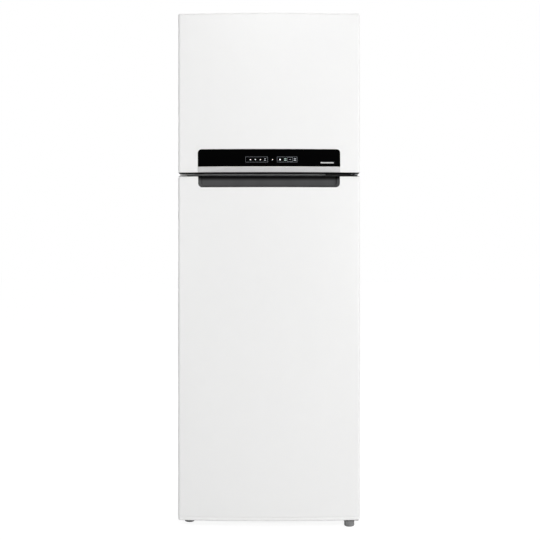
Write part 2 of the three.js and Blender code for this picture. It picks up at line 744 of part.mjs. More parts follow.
// Plan outline of a door: bowed front, rounded edges, straight sides back to a plane.
function doorOutline(side, front, back) {
  const half = HALF_WIDTH - side;
  const radius = DOOR_EDGE_RADIUS - side;
  const bow = (HALF_WIDTH ** 2 + DOOR_CROWN ** 2) / (2 * DOOR_CROWN) - front;
  const centreY = FRONT_Y + front + bow;
  const edgeX = half - radius;
  const lean = Math.asin(edgeX / (bow - radius));
  const edgeY = centreY - (bow - radius) * Math.cos(lean);
  const forward = 1.5 * Math.PI;
  const shape = new THREE.Shape();
  shape.moveTo(half, back);
  shape.lineTo(-half, back);
  shape.absarc(-edgeX, edgeY, radius, Math.PI, forward - lean, false);
  shape.absarc(0, centreY, bow, forward - lean, forward + lean, false);
  shape.absarc(edgeX, edgeY, radius, forward + lean, 2 * Math.PI, false);
  return shape;
}

const doorPrism = (side, front, back, ends) => prism("z", doorOutline(side, front, back), ends, 4);

// Every door piece is drawn in the part's frame and its group stands at the origin.
function doorSkin({ low, high, bottomCap, topCap }) {
  const ends = [low + bottomCap, high - topCap];
  const shell = less(
    doorPrism(0, SHEET, DOOR_BACK, ends),
    doorPrism(SHEET, 2 * SHEET, DOOR_BACK - SHEET, [ends[0] - 1, ends[1] + 1]),
  );
  const opening = span(HALF_WIDTH - DOOR_HEM);
  return less(shell, box(opening, [DOOR_BACK - 3, DOOR_BACK + 1], [ends[0] - 1, ends[1] + 1]));
}

function doorCap({ low, high, bottomCap, topCap }, atTop) {
  const plate = atTop ? [high - topCap + 0.1, high] : [low, low + bottomCap - 0.1];
  const plug = atTop ? [plate[0] - CAP_PLUG, plate[0] + 1] : [plate[1] - 1, plate[1] + CAP_PLUG];
  const hole = atTop ? [high - 13.5, high + 1] : [low - 1, low + 13.5];
  const solid = union(
    doorPrism(0.1, SHEET + 0.1, DOOR_BACK, plate),
    doorPrism(SHEET + GAP, 2 * SHEET + GAP, DOOR_BACK - SHEET - GAP, plug),
  );
  return less(solid, rod("z", HINGE.hole, [HINGE.x, HINGE.y], hole));
}

// The raised ring on a door's inner face, shrunk by inset all round.
function dikeRing({ half, low, high }, inset, [from, to]) {
  const outer = half - DIKE.inset - inset;
  const inner = half - DIKE.inset - DIKE.width + inset;
  const [bottom, top] = [low + DIKE.endInset, high - DIKE.endInset];
  return less(
    box(span(outer), [from, to], [bottom + inset, top - inset]),
    box(span(inner), [from - 1, to + 1], [bottom + DIKE.width - inset, top - DIKE.width + inset]),
  );
}

function doorInnerLow({ low, bottomCap }) {
  return low + bottomCap + CAP_PLUG + GAP;
}

function doorInnerHigh({ high, topCap }) {
  return high - topCap - CAP_PLUG - GAP;
}

function doorLiner(door) {
  const sheet = [DOOR_BACK - SHEET, DOOR_BACK + 0.5];
  const ends = [door.low + door.bottomCap + 2, door.high - door.topCap - 2];
  const outer = union(
    box(span(HALF_WIDTH - DOOR_HEM - GAP), sheet, ends),
    dikeRing(door.cavity, 0, [sheet[0], DOOR_BACK + DIKE.depth]),
  );
  const hollow = [sheet[0] - 1, DOOR_BACK + DIKE.depth - LINER_WALL];
  return less(outer, dikeRing(door.cavity, LINER_WALL, hollow));
}

function doorFoam(door) {
  const ends = [doorInnerLow(door), doorInnerHigh(door)];
  const slab = doorPrism(SHEET + GAP, 2 * SHEET + GAP, DOOR_BACK - SHEET - GAP, ends);
  const fill = dikeRing(door.cavity, LINER_WALL + GAP, [
    DOOR_BACK - 3,
    DOOR_BACK + DIKE.depth - LINER_WALL - GAP,
  ]);
  return union(slab, fill);
}

function doorGasket(low, high) {
  const depth = [DOOR_BACK + 0.5 + GAP, CABINET.front - GAP];
  const { outer, width } = GASKET;
  return less(
    prism("y", roundedRect([low, high], span(outer), 6), depth, 2),
    box(span(outer - width), [depth[0] - 1, depth[1] + 1], [low + width, high - width]),
  );
}

// The band of the freezer door's front between two depths, cut to a window.
function frontBand(window, from, to) {
  const { low, high } = PANEL;
  const room = [low - 40, high + 20];
  const behind = doorPrism(0, to, DOOR_BACK + 1, [room[0] - 1, room[1] + 1]);
  return less(doorPrism(0, from, DOOR_BACK, room), behind).intersect(window);
}

function panelWindow(grow, bottom) {
  const { half, low, high, radius } = PANEL;
  const outline = roundedRect([low - 60, high + grow], span(half + grow), radius);
  const window = prism("y", outline, PANEL.reach);
  return less(window, box(span(FAR), [-FAR, PANEL.reach[1] + 10], [low - 70, bottom]));
}

function stripWindow() {
  return box(span(PANEL.half), PANEL.reach, [FREEZER_DOOR.low, PANEL.low - GAP]);
}

const controlPanel = () => frontBand(panelWindow(0, PANEL.low), 0, PANEL.thickness);

function handleTrim() {
  const face = frontBand(stripWindow(), 0, PANEL.thickness);
  const sole = frontBand(stripWindow(), 0, SOLE.depth).intersect(
    box(span(FAR), [-FAR, 0], [FREEZER_DOOR.low, FREEZER_DOOR.low + SOLE.thickness]),
  );
  return union(face, sole);
}

// The room that the panel and strip take out of the freezer door.
function panelRoom() {
  const { low } = FREEZER_DOOR;
  const seat = frontBand(panelWindow(GAP, low - 1), -1, PANEL.thickness + GAP);
  const under = box(span(PANEL.half + GAP), [-FAR, 0], [low - 1, low + SOLE.thickness + GAP]);
  return union(seat, under.intersect(frontBand(panelWindow(GAP, low - 1), -1, SOLE.depth + GAP)));
}

// The handle recess: an outline seen from the front, open at the top of the fridge door.
function recessRoom(inset) {
  const { half, depth, height, radius } = RECESS;
  const low = FRIDGE_DOOR.high - height + inset;
  const outline = roundedRect([low, FRIDGE_DOOR.high + 30], span(half - inset), radius - inset);
  return prism("y", outline, [FRONT_Y - 20, FRONT_Y + depth - inset]);
}

function handlePocket() {
  const top = FRIDGE_DOOR.high;
  const lining = less(recessRoom(GAP), recessRoom(GAP + RECESS.wall));
  return lining.intersect(doorPrism(0, SHEET, DOOR_BACK, [top - RECESS.height - 1, top]));
}

// ---- Door bins ----

function doorBin(half, { inner, ends }) {
  return tub(span(half), [DOOR_BACK + 0.5 + GAP, inner], ends, 10);
}

function dairyBin(half) {
  const depth = [DAIRY.pivotY - DAIRY.ear, DAIRY.pivotY + DAIRY.ear];
  const ends = [DAIRY.high - 2, DAIRY.pivotZ + 7];
  const ears = mirrored((side) => box(sided(side, half - BIN_WALL, half), depth, ends));
  const bores = rod("x", DAIRY.hole, [DAIRY.pivotY, DAIRY.pivotZ], span(half + 1), 12);
  const bin = doorBin(half, { inner: DAIRY.inner, ends: [DAIRY.low, DAIRY.high] });
  return less(union(bin, ears), bores);
}

// A flip-up lid, drawn about its own pivot line.
function dairyLid(half) {
  const reach = DAIRY.inner - DAIRY.pivotY;
  const inside = half - BIN_WALL - 0.6;
  const outline = polygon([
    [-4, -1],
    [reach - 6, -1],
    [reach + 1, -5],
    [reach + 3, -4],
    [reach - 3, 1.5],
    [-4, 1.5],
  ]);
  return union(prism("x", outline, span(inside)), rod("x", DAIRY.pin, [0, 0], span(inside + 2), 12));
}

// ---- Assembly ----

function cabinet() {
  const group = new THREE.Group();
  group.add(
    part("cabinet_wrapper", cabinetWrapper(), WHITE_PAINT),
    part("rear_panel", rearPanel(), ZINC_STEEL),
    part("base_deck", baseDeck(), BLACK_STEEL),
    part("cabinet_foam", cabinetFoam(), FOAM),
    part("freezer_liner", freezerLiner(), WHITE_LINER),
    part("fridge_liner", fridgeLiner(), WHITE_LINER),
    part("middle_rail", middleRail(), WHITE_PAINT),
    part("top_hinge", topHinge(), ZINC_STEEL),
    part("top_hinge_cover", topHingeCover(), WHITE_CAP),
    part("middle_hinge", middleHinge(), BLACK_STEEL),
    part("bottom_hinge", bottomHinge(), BLACK_STEEL),
    part("cord_gland", cordGland(), GREY_RUBBER),
  );
  const corners = { left: [...FOOT.left, 0], right: [...FOOT.right, 0] };
  for (const [side, place] of Object.entries(corners)) {
    group.add(part("foot_" + side, foot(), GREY_RUBBER, place));
    const rollerX = Math.sign(place[0]) * ROLLER.x;
    group.add(part("roller_" + side, roller(), DARK_PLASTIC, [rollerX, ROLLER.y, ROLLER.radius]));
  }
  return group;
}

function coldCircuit() {
  const group = new THREE.Group();
  group.add(
    part("compressor", compressor(), BLACK_STEEL),
    part("relay_box", relayBox(), DARK_PLASTIC),
    part("drain_pan", drainPan(), DARK_PLASTIC),
    part("condenser_coil", condenserCoil(), BLACK_STEEL),
    part("condenser_wires", condenserWires(), BLACK_STEEL),
    part("evaporator", evaporator(), ALUMINIUM),
    part("evaporator_cover", evaporatorCover(), WHITE_LINER),
    part("evaporator_fan", evaporatorFan(), WHITE_CAP, [0, 0, FAN.z]),
    part("fan_motor", fanMotor(), ZINC_STEEL),
    part("air_duct", airDuct(), WHITE_LINER),
    part("damper_flap", damperFlap(), WHITE_CAP, [
      0,
      FRIDGE.back - GAP - AIR_DUCT.wall - 3,
      FLAP.z,
    ]),
  );
  return group;
}

function interior() {
  const group = new THREE.Group();
  group.add(
    part("freezer_shelf", freezerShelf(), SHELF_GLASS),
    part("ice_tray_frame", iceTrayFrame(), WHITE_CAP),
    part("ice_tray_left", iceTray(), CLEAR_PLASTIC, [ICE.axes[0], 0, ICE.axisZ]),
    part("ice_tray_right", iceTray(), CLEAR_PLASTIC, [ICE.axes[1], 0, ICE.axisZ]),
    part("ice_bin", iceBin(), CLEAR_PLASTIC),
    part("crisper_cover", crisperCover(), SHELF_GLASS),
    part("humidity_slider", humiditySlider(), WHITE_CAP),
    part("crisper_drawer", drawer(DRAWER_HALF, CRISPER), CLEAR_PLASTIC),
    part("chill_drawer", drawer(DRAWER_HALF, CHILL), CLEAR_PLASTIC),
    part("lamp_cover", lampCover(), LAMP_WHITE),
  );
  SHELF_LEVELS.forEach((level, i) => {
    group.add(part("glass_shelf_" + (i + 1), glassShelf(level), SHELF_GLASS));
  });
  return group;
}

function freezerDoor() {
  const group = new THREE.Group();
  const door = FREEZER_DOOR;
  const room = panelRoom();
  const binHalf = FREEZER.half - DIKE.inset - DIKE.width - BIN_PLAY;
  group.add(
    part("freezer_door_skin", less(doorSkin(door), room), WHITE_PAINT),
    part("freezer_door_top_cap", doorCap(door, true), WHITE_CAP),
    part("freezer_door_bottom_cap", less(doorCap(door, false), room), WHITE_CAP),
    part("freezer_door_foam", less(doorFoam(door), room), FOAM),
    part("freezer_door_liner", doorLiner(door), WHITE_LINER),
    part("freezer_door_gasket", doorGasket(...FREEZER_DOOR.seal), GASKET_VINYL),
    part("control_panel", controlPanel(), GLOSS_BLACK),
    part("handle_trim", handleTrim(), BRUSHED_SILVER),
    part("freezer_door_bin", doorBin(binHalf, FREEZER_BIN), CLEAR_PLASTIC),
  );
  return group;
}

function fridgeDoor() {
  const group = new THREE.Group();
  const door = FRIDGE_DOOR;
  const room = recessRoom(0);
  const binHalf = FRIDGE.half - DIKE.inset - DIKE.width - BIN_PLAY;
  group.add(
    part("fridge_door_skin", less(doorSkin(door), room), WHITE_PAINT),
    part("fridge_door_top_cap", less(doorCap(door, true), room), WHITE_CAP),
    part("fridge_door_bottom_cap", doorCap(door, false), WHITE_CAP),
    part("fridge_door_foam", less(doorFoam(door), room), FOAM),
    part("fridge_door_liner", doorLiner(door), WHITE_LINER),
    part("fridge_door_gasket", doorGasket(...FRIDGE_DOOR.seal), GASKET_VINYL),
    part("handle_pocket", handlePocket(), DARK_PLASTIC),
    part("dairy_bin", dairyBin(binHalf), CLEAR_PLASTIC),
    part("dairy_lid", dairyLid(binHalf), CLEAR_PLASTIC, [0, DAIRY.pivotY, DAIRY.pivotZ]),
    part("door_bin_middle", doorBin(binHalf, MIDDLE_BIN), CLEAR_PLASTIC),
    part("bottle_bin", doorBin(binHalf, BOTTLE_BIN), CLEAR_PLASTIC),
  );
  return group;
}

const refrigerator = new THREE.Group();
refrigerator.add(cabinet(), coldCircuit(), interior(), freezerDoor(), fridgeDoor());

export default refrigerator;
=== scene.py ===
"""Looks of the top freezer refrigerator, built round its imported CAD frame. Shapes are made in millimetres."""

import json
from math import asin, cos, pi, radians, sin, sqrt, tan

import bmesh
import bpy
from mathutils import Matrix, Vector


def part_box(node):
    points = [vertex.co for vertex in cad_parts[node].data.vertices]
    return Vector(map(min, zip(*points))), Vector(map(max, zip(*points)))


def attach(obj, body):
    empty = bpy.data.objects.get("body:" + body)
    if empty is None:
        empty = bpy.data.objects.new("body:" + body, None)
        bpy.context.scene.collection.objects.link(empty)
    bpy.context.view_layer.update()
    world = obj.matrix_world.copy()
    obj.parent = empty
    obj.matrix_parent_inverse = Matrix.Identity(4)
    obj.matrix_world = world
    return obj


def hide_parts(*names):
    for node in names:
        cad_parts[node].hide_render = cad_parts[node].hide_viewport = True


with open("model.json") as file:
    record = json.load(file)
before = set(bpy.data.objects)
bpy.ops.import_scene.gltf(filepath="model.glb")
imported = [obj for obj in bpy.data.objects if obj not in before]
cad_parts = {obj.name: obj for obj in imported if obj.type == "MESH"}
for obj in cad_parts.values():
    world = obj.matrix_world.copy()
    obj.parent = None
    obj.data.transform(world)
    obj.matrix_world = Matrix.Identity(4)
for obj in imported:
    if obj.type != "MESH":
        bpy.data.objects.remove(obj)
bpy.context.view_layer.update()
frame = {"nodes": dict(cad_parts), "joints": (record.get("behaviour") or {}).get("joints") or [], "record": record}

MM = 0.001
TAU = 2 * pi


class Box:
    """A CAD node's box in millimetres: the span, both ends and the middle on each axis."""

    def __init__(self, node):
        self.x, self.y, self.z = ((a / MM, b / MM) for a, b in zip(*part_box(node)))
        (self.x0, self.x1), (self.y0, self.y1), (self.z0, self.z1) = self.x, self.y, self.z
        self.xm, self.ym, self.zm = (sum(span) / 2 for span in (self.x, self.y, self.z))


B = {name: Box(name) for name in frame["nodes"]}


class Room:
    """A cabinet compartment's clear inside, from the pieces that fill it."""

    def __init__(self, half, back, low, high):
        self.x, self.z = (-half, half), (low, high)
        self.x1, self.y1, self.z0, self.z1 = half, back, low, high


FREEZER = Room(
    B["freezer_shelf"].x1 + 2, B["evaporator_cover"].y1 + 0.3, B["ice_bin"].z0 - 0.3,
    B["freezer_liner"].z1 - 37.7,
)
FRIDGE = Room(
    B["glass_shelf_1"].x1 + 2, B["air_duct"].y1 + 0.3, B["crisper_drawer"].z0 - 0.6, B["lamp_cover"].z1 + 0.3
)
SHELF_LEVELS = [B["glass_shelf_%d" % k].z0 for k in (1, 2, 3)]


# ---- Shapes: vertices and faces in millimetres ----


class Shape:
    def __init__(self, verts=(), faces=()):
        self.verts = [tuple(v) for v in verts]
        self.faces = [list(f) for f in faces]

    def add(self, *others):
        for other in others:
            base = len(self.verts)
            self.verts += other.verts
            self.faces += [[base + i for i in f] for f in other.faces]
        return self

    def turn(self, angle, axis, centre=(0, 0, 0)):
        spin = Matrix.Rotation(radians(angle), 4, axis)
        c = Vector(centre)
        return Shape([tuple(spin @ (Vector(v) - c) + c) for v in self.verts], self.faces)

    def mirror_x(self):
        return Shape([(-x, y, z) for x, y, z in self.verts], [f[::-1] for f in self.faces])


def joined(shapes):
    return Shape().add(*shapes)


def both_sides(shape):
    return joined([shape, shape.mirror_x()])


def steps(a, b, count):
    return [a + (b - a) * i / count for i in range(count + 1)]


def quarter(count):
    return steps(0, pi / 2, count)


def rounding(radius, count):
    """A corner's arc, as insets from one of its sides and from the other."""
    return [(radius * (1 - sin(a)), radius * (1 - cos(a))) for a in quarter(count)]


def shrunk(span, by):
    return span[0] + by, span[1] - by


def about(middle, reach):
    return middle - reach, middle + reach


def in_plane(points, axis, t):
    """2D points as 3D ones at t along an axis, the other two coordinates in X, Y, Z order."""
    if axis == "x":
        return [(t, a, b) for a, b in points]
    if axis == "y":
        return [(a, t, b) for a, b in points]
    return [(a, b, t) for a, b in points]


def loft(loops, closed=True, ring=False):
    """Quads between loops of equal length, closed at both ends. ring joins the last loop to the first."""
    n = len(loops[0])
    verts = [v for loop in loops for v in loop]
    faces = []
    count = len(loops)
    for k in range(count if ring else count - 1):
        a, b = k * n, ((k + 1) % count) * n
        for i in range(n):
            j = (i + 1) % n
            faces.append([a + i, a + j, b + j, b + i])
    if closed and not ring:
        faces.append(list(range(n - 1, -1, -1)))
        faces.append([(count - 1) * n + i for i in range(n)])
    return Shape(verts, faces)


def rounded_rect(a0, a1, b0, b1, r, n=5):
    """Corner arcs of n steps, counterclockwise from the low corner of the far side."""
    r = max(min(r, (a1 - a0) / 2 - 1e-3, (b1 - b0) / 2 - 1e-3), 1e-3)
    corners = ((a1 - r, b0 + r, -90), (a1 - r, b1 - r, 0), (a0 + r, b1 - r, 90), (a0 + r, b0 + r, 180))
    points = []
    for ca, cb, start in corners:
        for i in range(n + 1):
            angle = radians(start + 90 * i / n)
            points.append((ca + r * cos(angle), cb + r * sin(angle)))
    return points


def loft_rects(rows, axis="z", n=5, ring=False):
    """rows of (a0, a1, b0, b1, radius, t): rounded rectangles at t along an axis."""
    loops = [in_plane(rounded_rect(*row[:5], n), axis, row[5]) for row in rows]
    return loft(loops, ring=ring)


def nested(a, b, rows):
    """Rows for loft_rects, from two spans and rows of (inset, radius, t)."""
    return [(*shrunk(a, inset), *shrunk(b, inset), radius, t) for inset, radius, t in rows]


def block(x, y, z, edge=1.0, corner=None, axis="z", n=4, arc=3):
    """A box with all edges rounded; corner is the radius seen along axis."""
    a, b, (t0, t1) = {"x": (y, z, x), "y": (x, z, y), "z": (x, y, z)}[axis]
    corner = edge if corner is None else corner
    insets = rounding(edge, arc)
    loops = [(i, t0 + rise) for i, rise in insets] + [(i, t1 - rise) for i, rise in reversed(insets)]
    return loft_rects(nested(a, b, [(i, corner - i if corner > i else 0.05, t) for i, t in loops]), axis, n)


def circle(radius, sides, centre=(0, 0)):
    return [
        (centre[0] + radius * cos(TAU * i / sides), centre[1] + radius * sin(TAU * i / sides))
        for i in range(sides)
    ]


def lathe(profile, centre=(0, 0), axis="z", sides=32, wave=None):
    """profile of (radius, t) along an axis through centre; wave changes the radius by angle and t."""
    loops = []
    for radius, t in profile:
        points = []
        for i in range(sides):
            angle = TAU * i / sides
            r = radius + (wave(angle, t, radius) if wave else 0)
            points.append((centre[0] + r * cos(angle), centre[1] + r * sin(angle)))
        loops.append(in_plane(points, axis, t))
    return loft(loops)


def tube(points, radius, sides=10):
    """A round bar along 3D points."""
    points = [Vector(p) for p in points]
    tangents = [(b - a).normalized() for a, b in zip(points[:1] + points, points[1:] + points[-1:])]
    normal = tangents[0].orthogonal().normalized()
    loops = []
    for point, tangent in zip(points, tangents):
        normal = (normal - tangent * normal.dot(tangent)).normalized()
        other = tangent.cross(normal)
        angles = [TAU * k / sides for k in range(sides)]
        loops.append([tuple(point + radius * (cos(a) * normal + sin(a) * other)) for a in angles])
    return loft(loops)


def bent(corners, radius, count=8):
    """Corner points joined by straights with round bends of that radius."""
    corners = [Vector(c) for c in corners]
    points = [corners[0]]
    for before, here, after in zip(corners, corners[1:], corners[2:]):
        inward, outward = (before - here).normalized(), (after - here).normalized()
        half = inward.angle(outward) / 2
        start = here + inward * (radius / tan(half))
        centre = here + (inward + outward).normalized() * (radius / sin(half))
        axis = outward.cross(inward).normalized()
        for i in range(count + 1):
            turn = Matrix.Rotation((pi - 2 * half) * i / count, 3, axis)
            points.append(turn @ (start - centre) + centre)
    points.append(corners[-1])
    return points


def prism(points, axis, t0, t1):
    return loft([in_plane(points, axis, t0), in_plane(points, axis, t1)])


def screw(centre, axis, radius=4, height=2.6):
    """A washer-faced hexagon screw head with a dished top, standing on centre."""
    t = centre["xyz".index(axis)]
    place = [value for value, name in zip(centre, "xyz") if name != axis]
    washer = [(radius * 1.5, 0), (radius * 1.5, 0.5), (radius * 1.4, 0.8), (radius * 0.9, 0.9)]
    head = [
        (radius, 0.7), (radius, height - 0.5), (radius * 0.86, height), (radius * 0.55, height),
        (radius * 0.5, height - 0.7),
    ]
    return joined(
        lathe([(r, t + h) for r, h in part], place, axis, sides) for part, sides in ((washer, 24), (head, 6))
    )


def placed(name, data):
    """A new object in the scene."""
    obj = bpy.data.objects.new(name, data)
    bpy.context.scene.collection.objects.link(obj)
    return obj


def scratch_object(shape):
    mesh = bpy.data.meshes.new("scratch")
    mesh.from_pydata(shape.verts, [], shape.faces)
    bm = bmesh.new()
    bm.from_mesh(mesh)
    bmesh.ops.recalc_face_normals(bm, faces=bm.faces)
    bm.to_mesh(mesh)
    bm.free()
    return placed("scratch", mesh)


def cut(shape, cutters):
    """shape less the cutters, which may not overlap one another."""
    target, tool = scratch_object(shape), scratch_object(joined(cutters))
    modifier = target.modifiers.new("cut", "BOOLEAN")
    modifier.object, modifier.operation, modifier.solver = tool, "DIFFERENCE", "EXACT"
    bpy.context.view_layer.update()
    mesh = bpy.data.meshes.new_from_object(target.evaluated_get(bpy.context.evaluated_depsgraph_get()))
    made = Shape([tuple(v.co) for v in mesh.vertices], [list(p.vertices) for p in mesh.polygons])
    for obj in (target, tool):
        bpy.data.objects.remove(obj)
    bpy.data.meshes.remove(mesh)
    return made


# ---- Materials ----


class Nodes:
    """A node tree of a material or the world, with short names for what they share."""

    def __init__(self, name, owners=bpy.data.materials, shader="Principled BSDF"):
        self.owner = owners.new(name)
        self.owner.use_nodes = True
        self.tree = self.owner.node_tree
        self.shader = self.tree.nodes[shader]
        self.places = self.make("ShaderNodeTexCoord").outputs

    def make(self, kind, **inputs):
        node = self.tree.nodes.new(kind)
        for key, value in inputs.items():
            self.feed(node, key, value)
        return node

    def feed(self, node, key, value):
        """Links or sets an input, by its name or by i and its number."""
        socket = node.inputs[int(key[1:]) if key[0] == "i" and key[1:].isdigit() else key]
        if isinstance(value, bpy.types.NodeSocket):
            self.tree.links.new(value, socket)
        else:
            socket.default_value = value

    def noise(self, scale, detail=3, roughness=0.5, stretch=None):
        place = self.places["Object"]
        if stretch:
            place = self.make("ShaderNodeMapping", Vector=place, Scale=stretch).outputs["Vector"]
        node = self.make("ShaderNodeTexNoise", Vector=place, Scale=scale, Detail=detail, Roughness=roughness)
        return node.outputs["Fac"]

    def voronoi(self, scale, output="Distance"):
        return self.make("ShaderNodeTexVoronoi", Vector=self.places["Object"], Scale=scale).outputs[output]

    def ranged(self, value, low, high, source=(0.3, 0.7), smooth=False):
        node = self.make("ShaderNodeMapRange", Value=value)
        if smooth:
            node.interpolation_type = "SMOOTHSTEP"
        for key, number in zip(("From Min", "From Max", "To Min", "To Max"), (*source, low, high)):
            node.inputs[key].default_value = number
        return node.outputs["Result"]

    def mixed(self, factor, first, second):
        node = self.make("ShaderNodeMix")
        node.data_type = "RGBA"
        for key, value in (("i0", factor), ("i6", first), ("i7", second)):
            self.feed(node, key, (*value, 1) if isinstance(value, tuple) else value)
        return node.outputs[2]

    def patchy(self, first, second, scale, detail=4, roughness=0.5):
        """Two colours in soft patches."""
        return self.mixed(self.ranged(self.noise(scale, detail, roughness), 0, 1), first, second)

    def combined(self, first, second, operation="ADD"):
        node = self.make("ShaderNodeMath", i0=first, i1=second)
        node.operation = operation
        return node.outputs[0]

    def bump(self, height, strength, distance):
        node = self.make("ShaderNodeBump", Height=height, Strength=strength, Distance=distance)
        return node.outputs["Normal"]

    def finish(self, **inputs):
        for key, value in inputs.items():
            self.feed(self.shader, key.replace("_", " "), value)
        return self.owner

    def camera_sees(self, shown, share, output):
        """Shows another shader to the camera's rays, by a share."""
        mix = self.make("ShaderNodeMixShader", i0=share, i1=self.shader.outputs[0], i2=shown.outputs[0])
        self.tree.links.new(mix.outputs[0], self.tree.nodes[output].inputs["Surface"])


def shade(colour, factor):
    return tuple(c * factor for c in colour)


def moulded(name, colour, rough, grain=900, depth=0.12, mottle=0.05, coat=0.0, uneven=0.15, specular=0.5):
    """Moulded plastic, paint or rubber: faint mottling, a fine surface grain and uneven gloss."""
    n = Nodes(name)
    return n.finish(
        Base_Color=n.patchy(shade(colour, 1 - mottle), shade(colour, 1 + mottle * 0.4), 18, roughness=0.6),
        Roughness=n.ranged(n.noise(54), rough * (1 - uneven), min(rough * (1 + uneven), 1)),
        Normal=n.bump(n.noise(grain, 2), depth, 0.0002),
        Coat_Weight=coat,
        Coat_Roughness=0.08,
        Specular_IOR_Level=specular,
    )


def sheet_metal(name, colour, rough, streak, depth, spangle=0.0):
    """Bare metal: fine drawn streaks, and zinc crystals where spangle is above 0."""
    n = Nodes(name)
    lines = n.noise(60, 6, 0.7, streak)
    tone = n.ranged(lines, 0, 1)
    base = n.mixed(tone, shade(colour, 0.82), colour)
    gloss = n.ranged(lines, rough * 0.75, rough * 1.35)
    if spangle:
        cells = n.voronoi(130, "Color")
        grey = n.make("ShaderNodeRGBToBW", Color=cells).outputs["Val"]
        base = n.mixed(n.ranged(grey, 0, spangle, (0, 1)), colour, shade(colour, 0.55))
        gloss = n.ranged(grey, rough * 0.8, rough * 1.4, (0, 1))
    return n.finish(Base_Color=base, Roughness=gloss, Metallic=1.0, Normal=n.bump(lines, depth, 0.0001))


def foam_material():
    n = Nodes("foam")
    cells = n.voronoi(420)
    return n.finish(
        Base_Color=n.patchy((0.66, 0.53, 0.27), (0.82, 0.72, 0.44), 30),
        Roughness=n.ranged(cells, 0.85, 1.0, (0, 0.6)),
        Normal=n.bump(cells, 0.5, 0.0008),
    )


def gloss_black_material():
    """Black glass over a dark mask with a faint dot screen."""
    n = Nodes("gloss_black")
    dots = n.ranged(n.voronoi(700), 0, 1, (0.2, 0.5))
    smears = n.noise(14, 5, 0.7, (1, 1, 0.4))
    return n.finish(
        Base_Color=n.mixed(dots, (0.0008, 0.0008, 0.0009), (0.0004, 0.0004, 0.0005)),
        Roughness=n.ranged(smears, 0.035, 0.09),
        Normal=n.bump(n.noise(5, 2), 0.05, 0.001),
        Specular_IOR_Level=0.02,
    )


def see_through(name, face, edge, clear, solid, rough, ripple=0.1, frost=0.0):
    """Clear plastic or glass: open face on, more solid at a glancing angle and on narrow upright edges."""
    n = Nodes(name)
    glance = n.make("ShaderNodeLayerWeight", Blend=0.35).outputs["Facing"]
    body = n.patchy(face, shade(face, 0.93), 40)
    density = n.ranged(glance, clear, solid, (0.15, 1))
    if frost:
        density = n.combined(density, n.ranged(n.noise(500, 3), 0, frost))
    return n.finish(
        Base_Color=n.mixed(n.ranged(glance, 0, 1, (0.3, 1)), body, edge),
        Roughness=n.ranged(n.noise(60, 3), rough * 0.8, rough * 1.3),
        Alpha=density,
        Normal=n.bump(n.noise(9, 2), ripple, 0.001),
    )


def glow(name, colour, strength):
    """A lit symbol behind the panel, a little uneven across its face."""
    n = Nodes(name)
    hot = n.patchy(shade(colour, 0.8), colour, 900, 2)
    return n.finish(Base_Color=hot, Emission_Color=hot, Emission_Strength=strength, Roughness=0.4)


def grip_material(top):
    """Dark moulded plastic that the hands have left matt, with painted shade blackening it toward its top edge
    under the strip.
    """
    n = Nodes("grip_plastic")
    height = n.make("ShaderNodeSeparateXYZ", Vector=n.places["Object"]).outputs["Z"]
    # painted shade: the colour fades to near black over the top of the recess, where the strip above shades it
    shadow = n.ranged(height, 0, 1, (top - 0.0145, top - 0.0045))
    patches = n.patchy((0.073, 0.074, 0.076), (0.082, 0.083, 0.085), 18, roughness=0.6)
    return n.finish(
        Base_Color=n.mixed(shadow, patches, (0.002, 0.002, 0.002)),
        Roughness=n.ranged(n.noise(50, 5, 0.65), 0.45, 0.6),
        Normal=n.bump(n.noise(1300, 2), 0.2, 0.0002),
        Specular_IOR_Level=0.04,
    )


def lamp_material():
    n = Nodes("lamp_white")
    ribs = n.make("ShaderNodeTexWave", Vector=n.places["Object"], Scale=90.0).outputs["Fac"]
    return n.finish(
        Base_Color=n.mixed(ribs, (0.86, 0.84, 0.78), (0.93, 0.92, 0.88)),
        Roughness=n.ranged(ribs, 0.2, 0.35, (0, 1)),
        Normal=n.bump(ribs, 0.4, 0.0006),
    )


MATERIALS = {
    "foam": foam_material(),
    "gloss_black": gloss_black_material(),
    "grip_plastic": grip_material(B["handle_pocket"].z1 * MM),
    "lamp_white": lamp_material(),
}


def looks(maker, **rows):
    for name, (numbers, options) in rows.items():
        MATERIALS[name] = maker(name, *numbers, **options)


RUBBER = {"grain": 800, "depth": 0.3, "mottle": 0.15}
looks(
    moulded,
    white_paint=(((0.812, 0.812, 0.808), 0.3, 700, 0.05, 0.006), {"coat": 0.15, "uneven": 0.02}),
    white_plastic=(((0.84, 0.84, 0.834), 0.42, 1500, 0.1, 0.008), {"uneven": 0.03}),
    liner_plastic=(((0.83, 0.84, 0.842), 0.26, 700, 0.03, 0.006), {"uneven": 0.02}),
    gasket_vinyl=(((0.66, 0.67, 0.675), 0.55, 1100, 0.15, 0.06), {}),
    dark_plastic=(((0.05, 0.053, 0.057), 0.5, 1300, 0.3, 0.1), {}),
    black_steel=(((0.014, 0.0145, 0.015), 0.42, 1000, 0.4, 0.2), {}),
    hinge_paint=(((0.085, 0.086, 0.088), 0.42, 1000, 0.3, 0.15), {}),
    grey_rubber=(((0.105, 0.108, 0.11), 0.72, 800, 0.35, 0.12), {}),
    foot_rubber=(((0.23, 0.23, 0.233), 0.7, 800, 0.35, 0.2), {}),
    # a grey that paints the shade on the rail in the door gap
    pale_rubber=(((0.45, 0.45, 0.455), 0.8, 800, 0.2, 0.08), {"specular": 0.2}),
    # a dark matt rubber that paints the shade in the gap between the doors
    matt_rubber=(((0.042, 0.042, 0.043), 0.95), {"specular": 0.08, **RUBBER}),
    # a near black that paints the shadow low on the rail in the door gap
    black_rubber=(((0.008, 0.008, 0.008), 0.95), {"specular": 0.03, **RUBBER}),
)
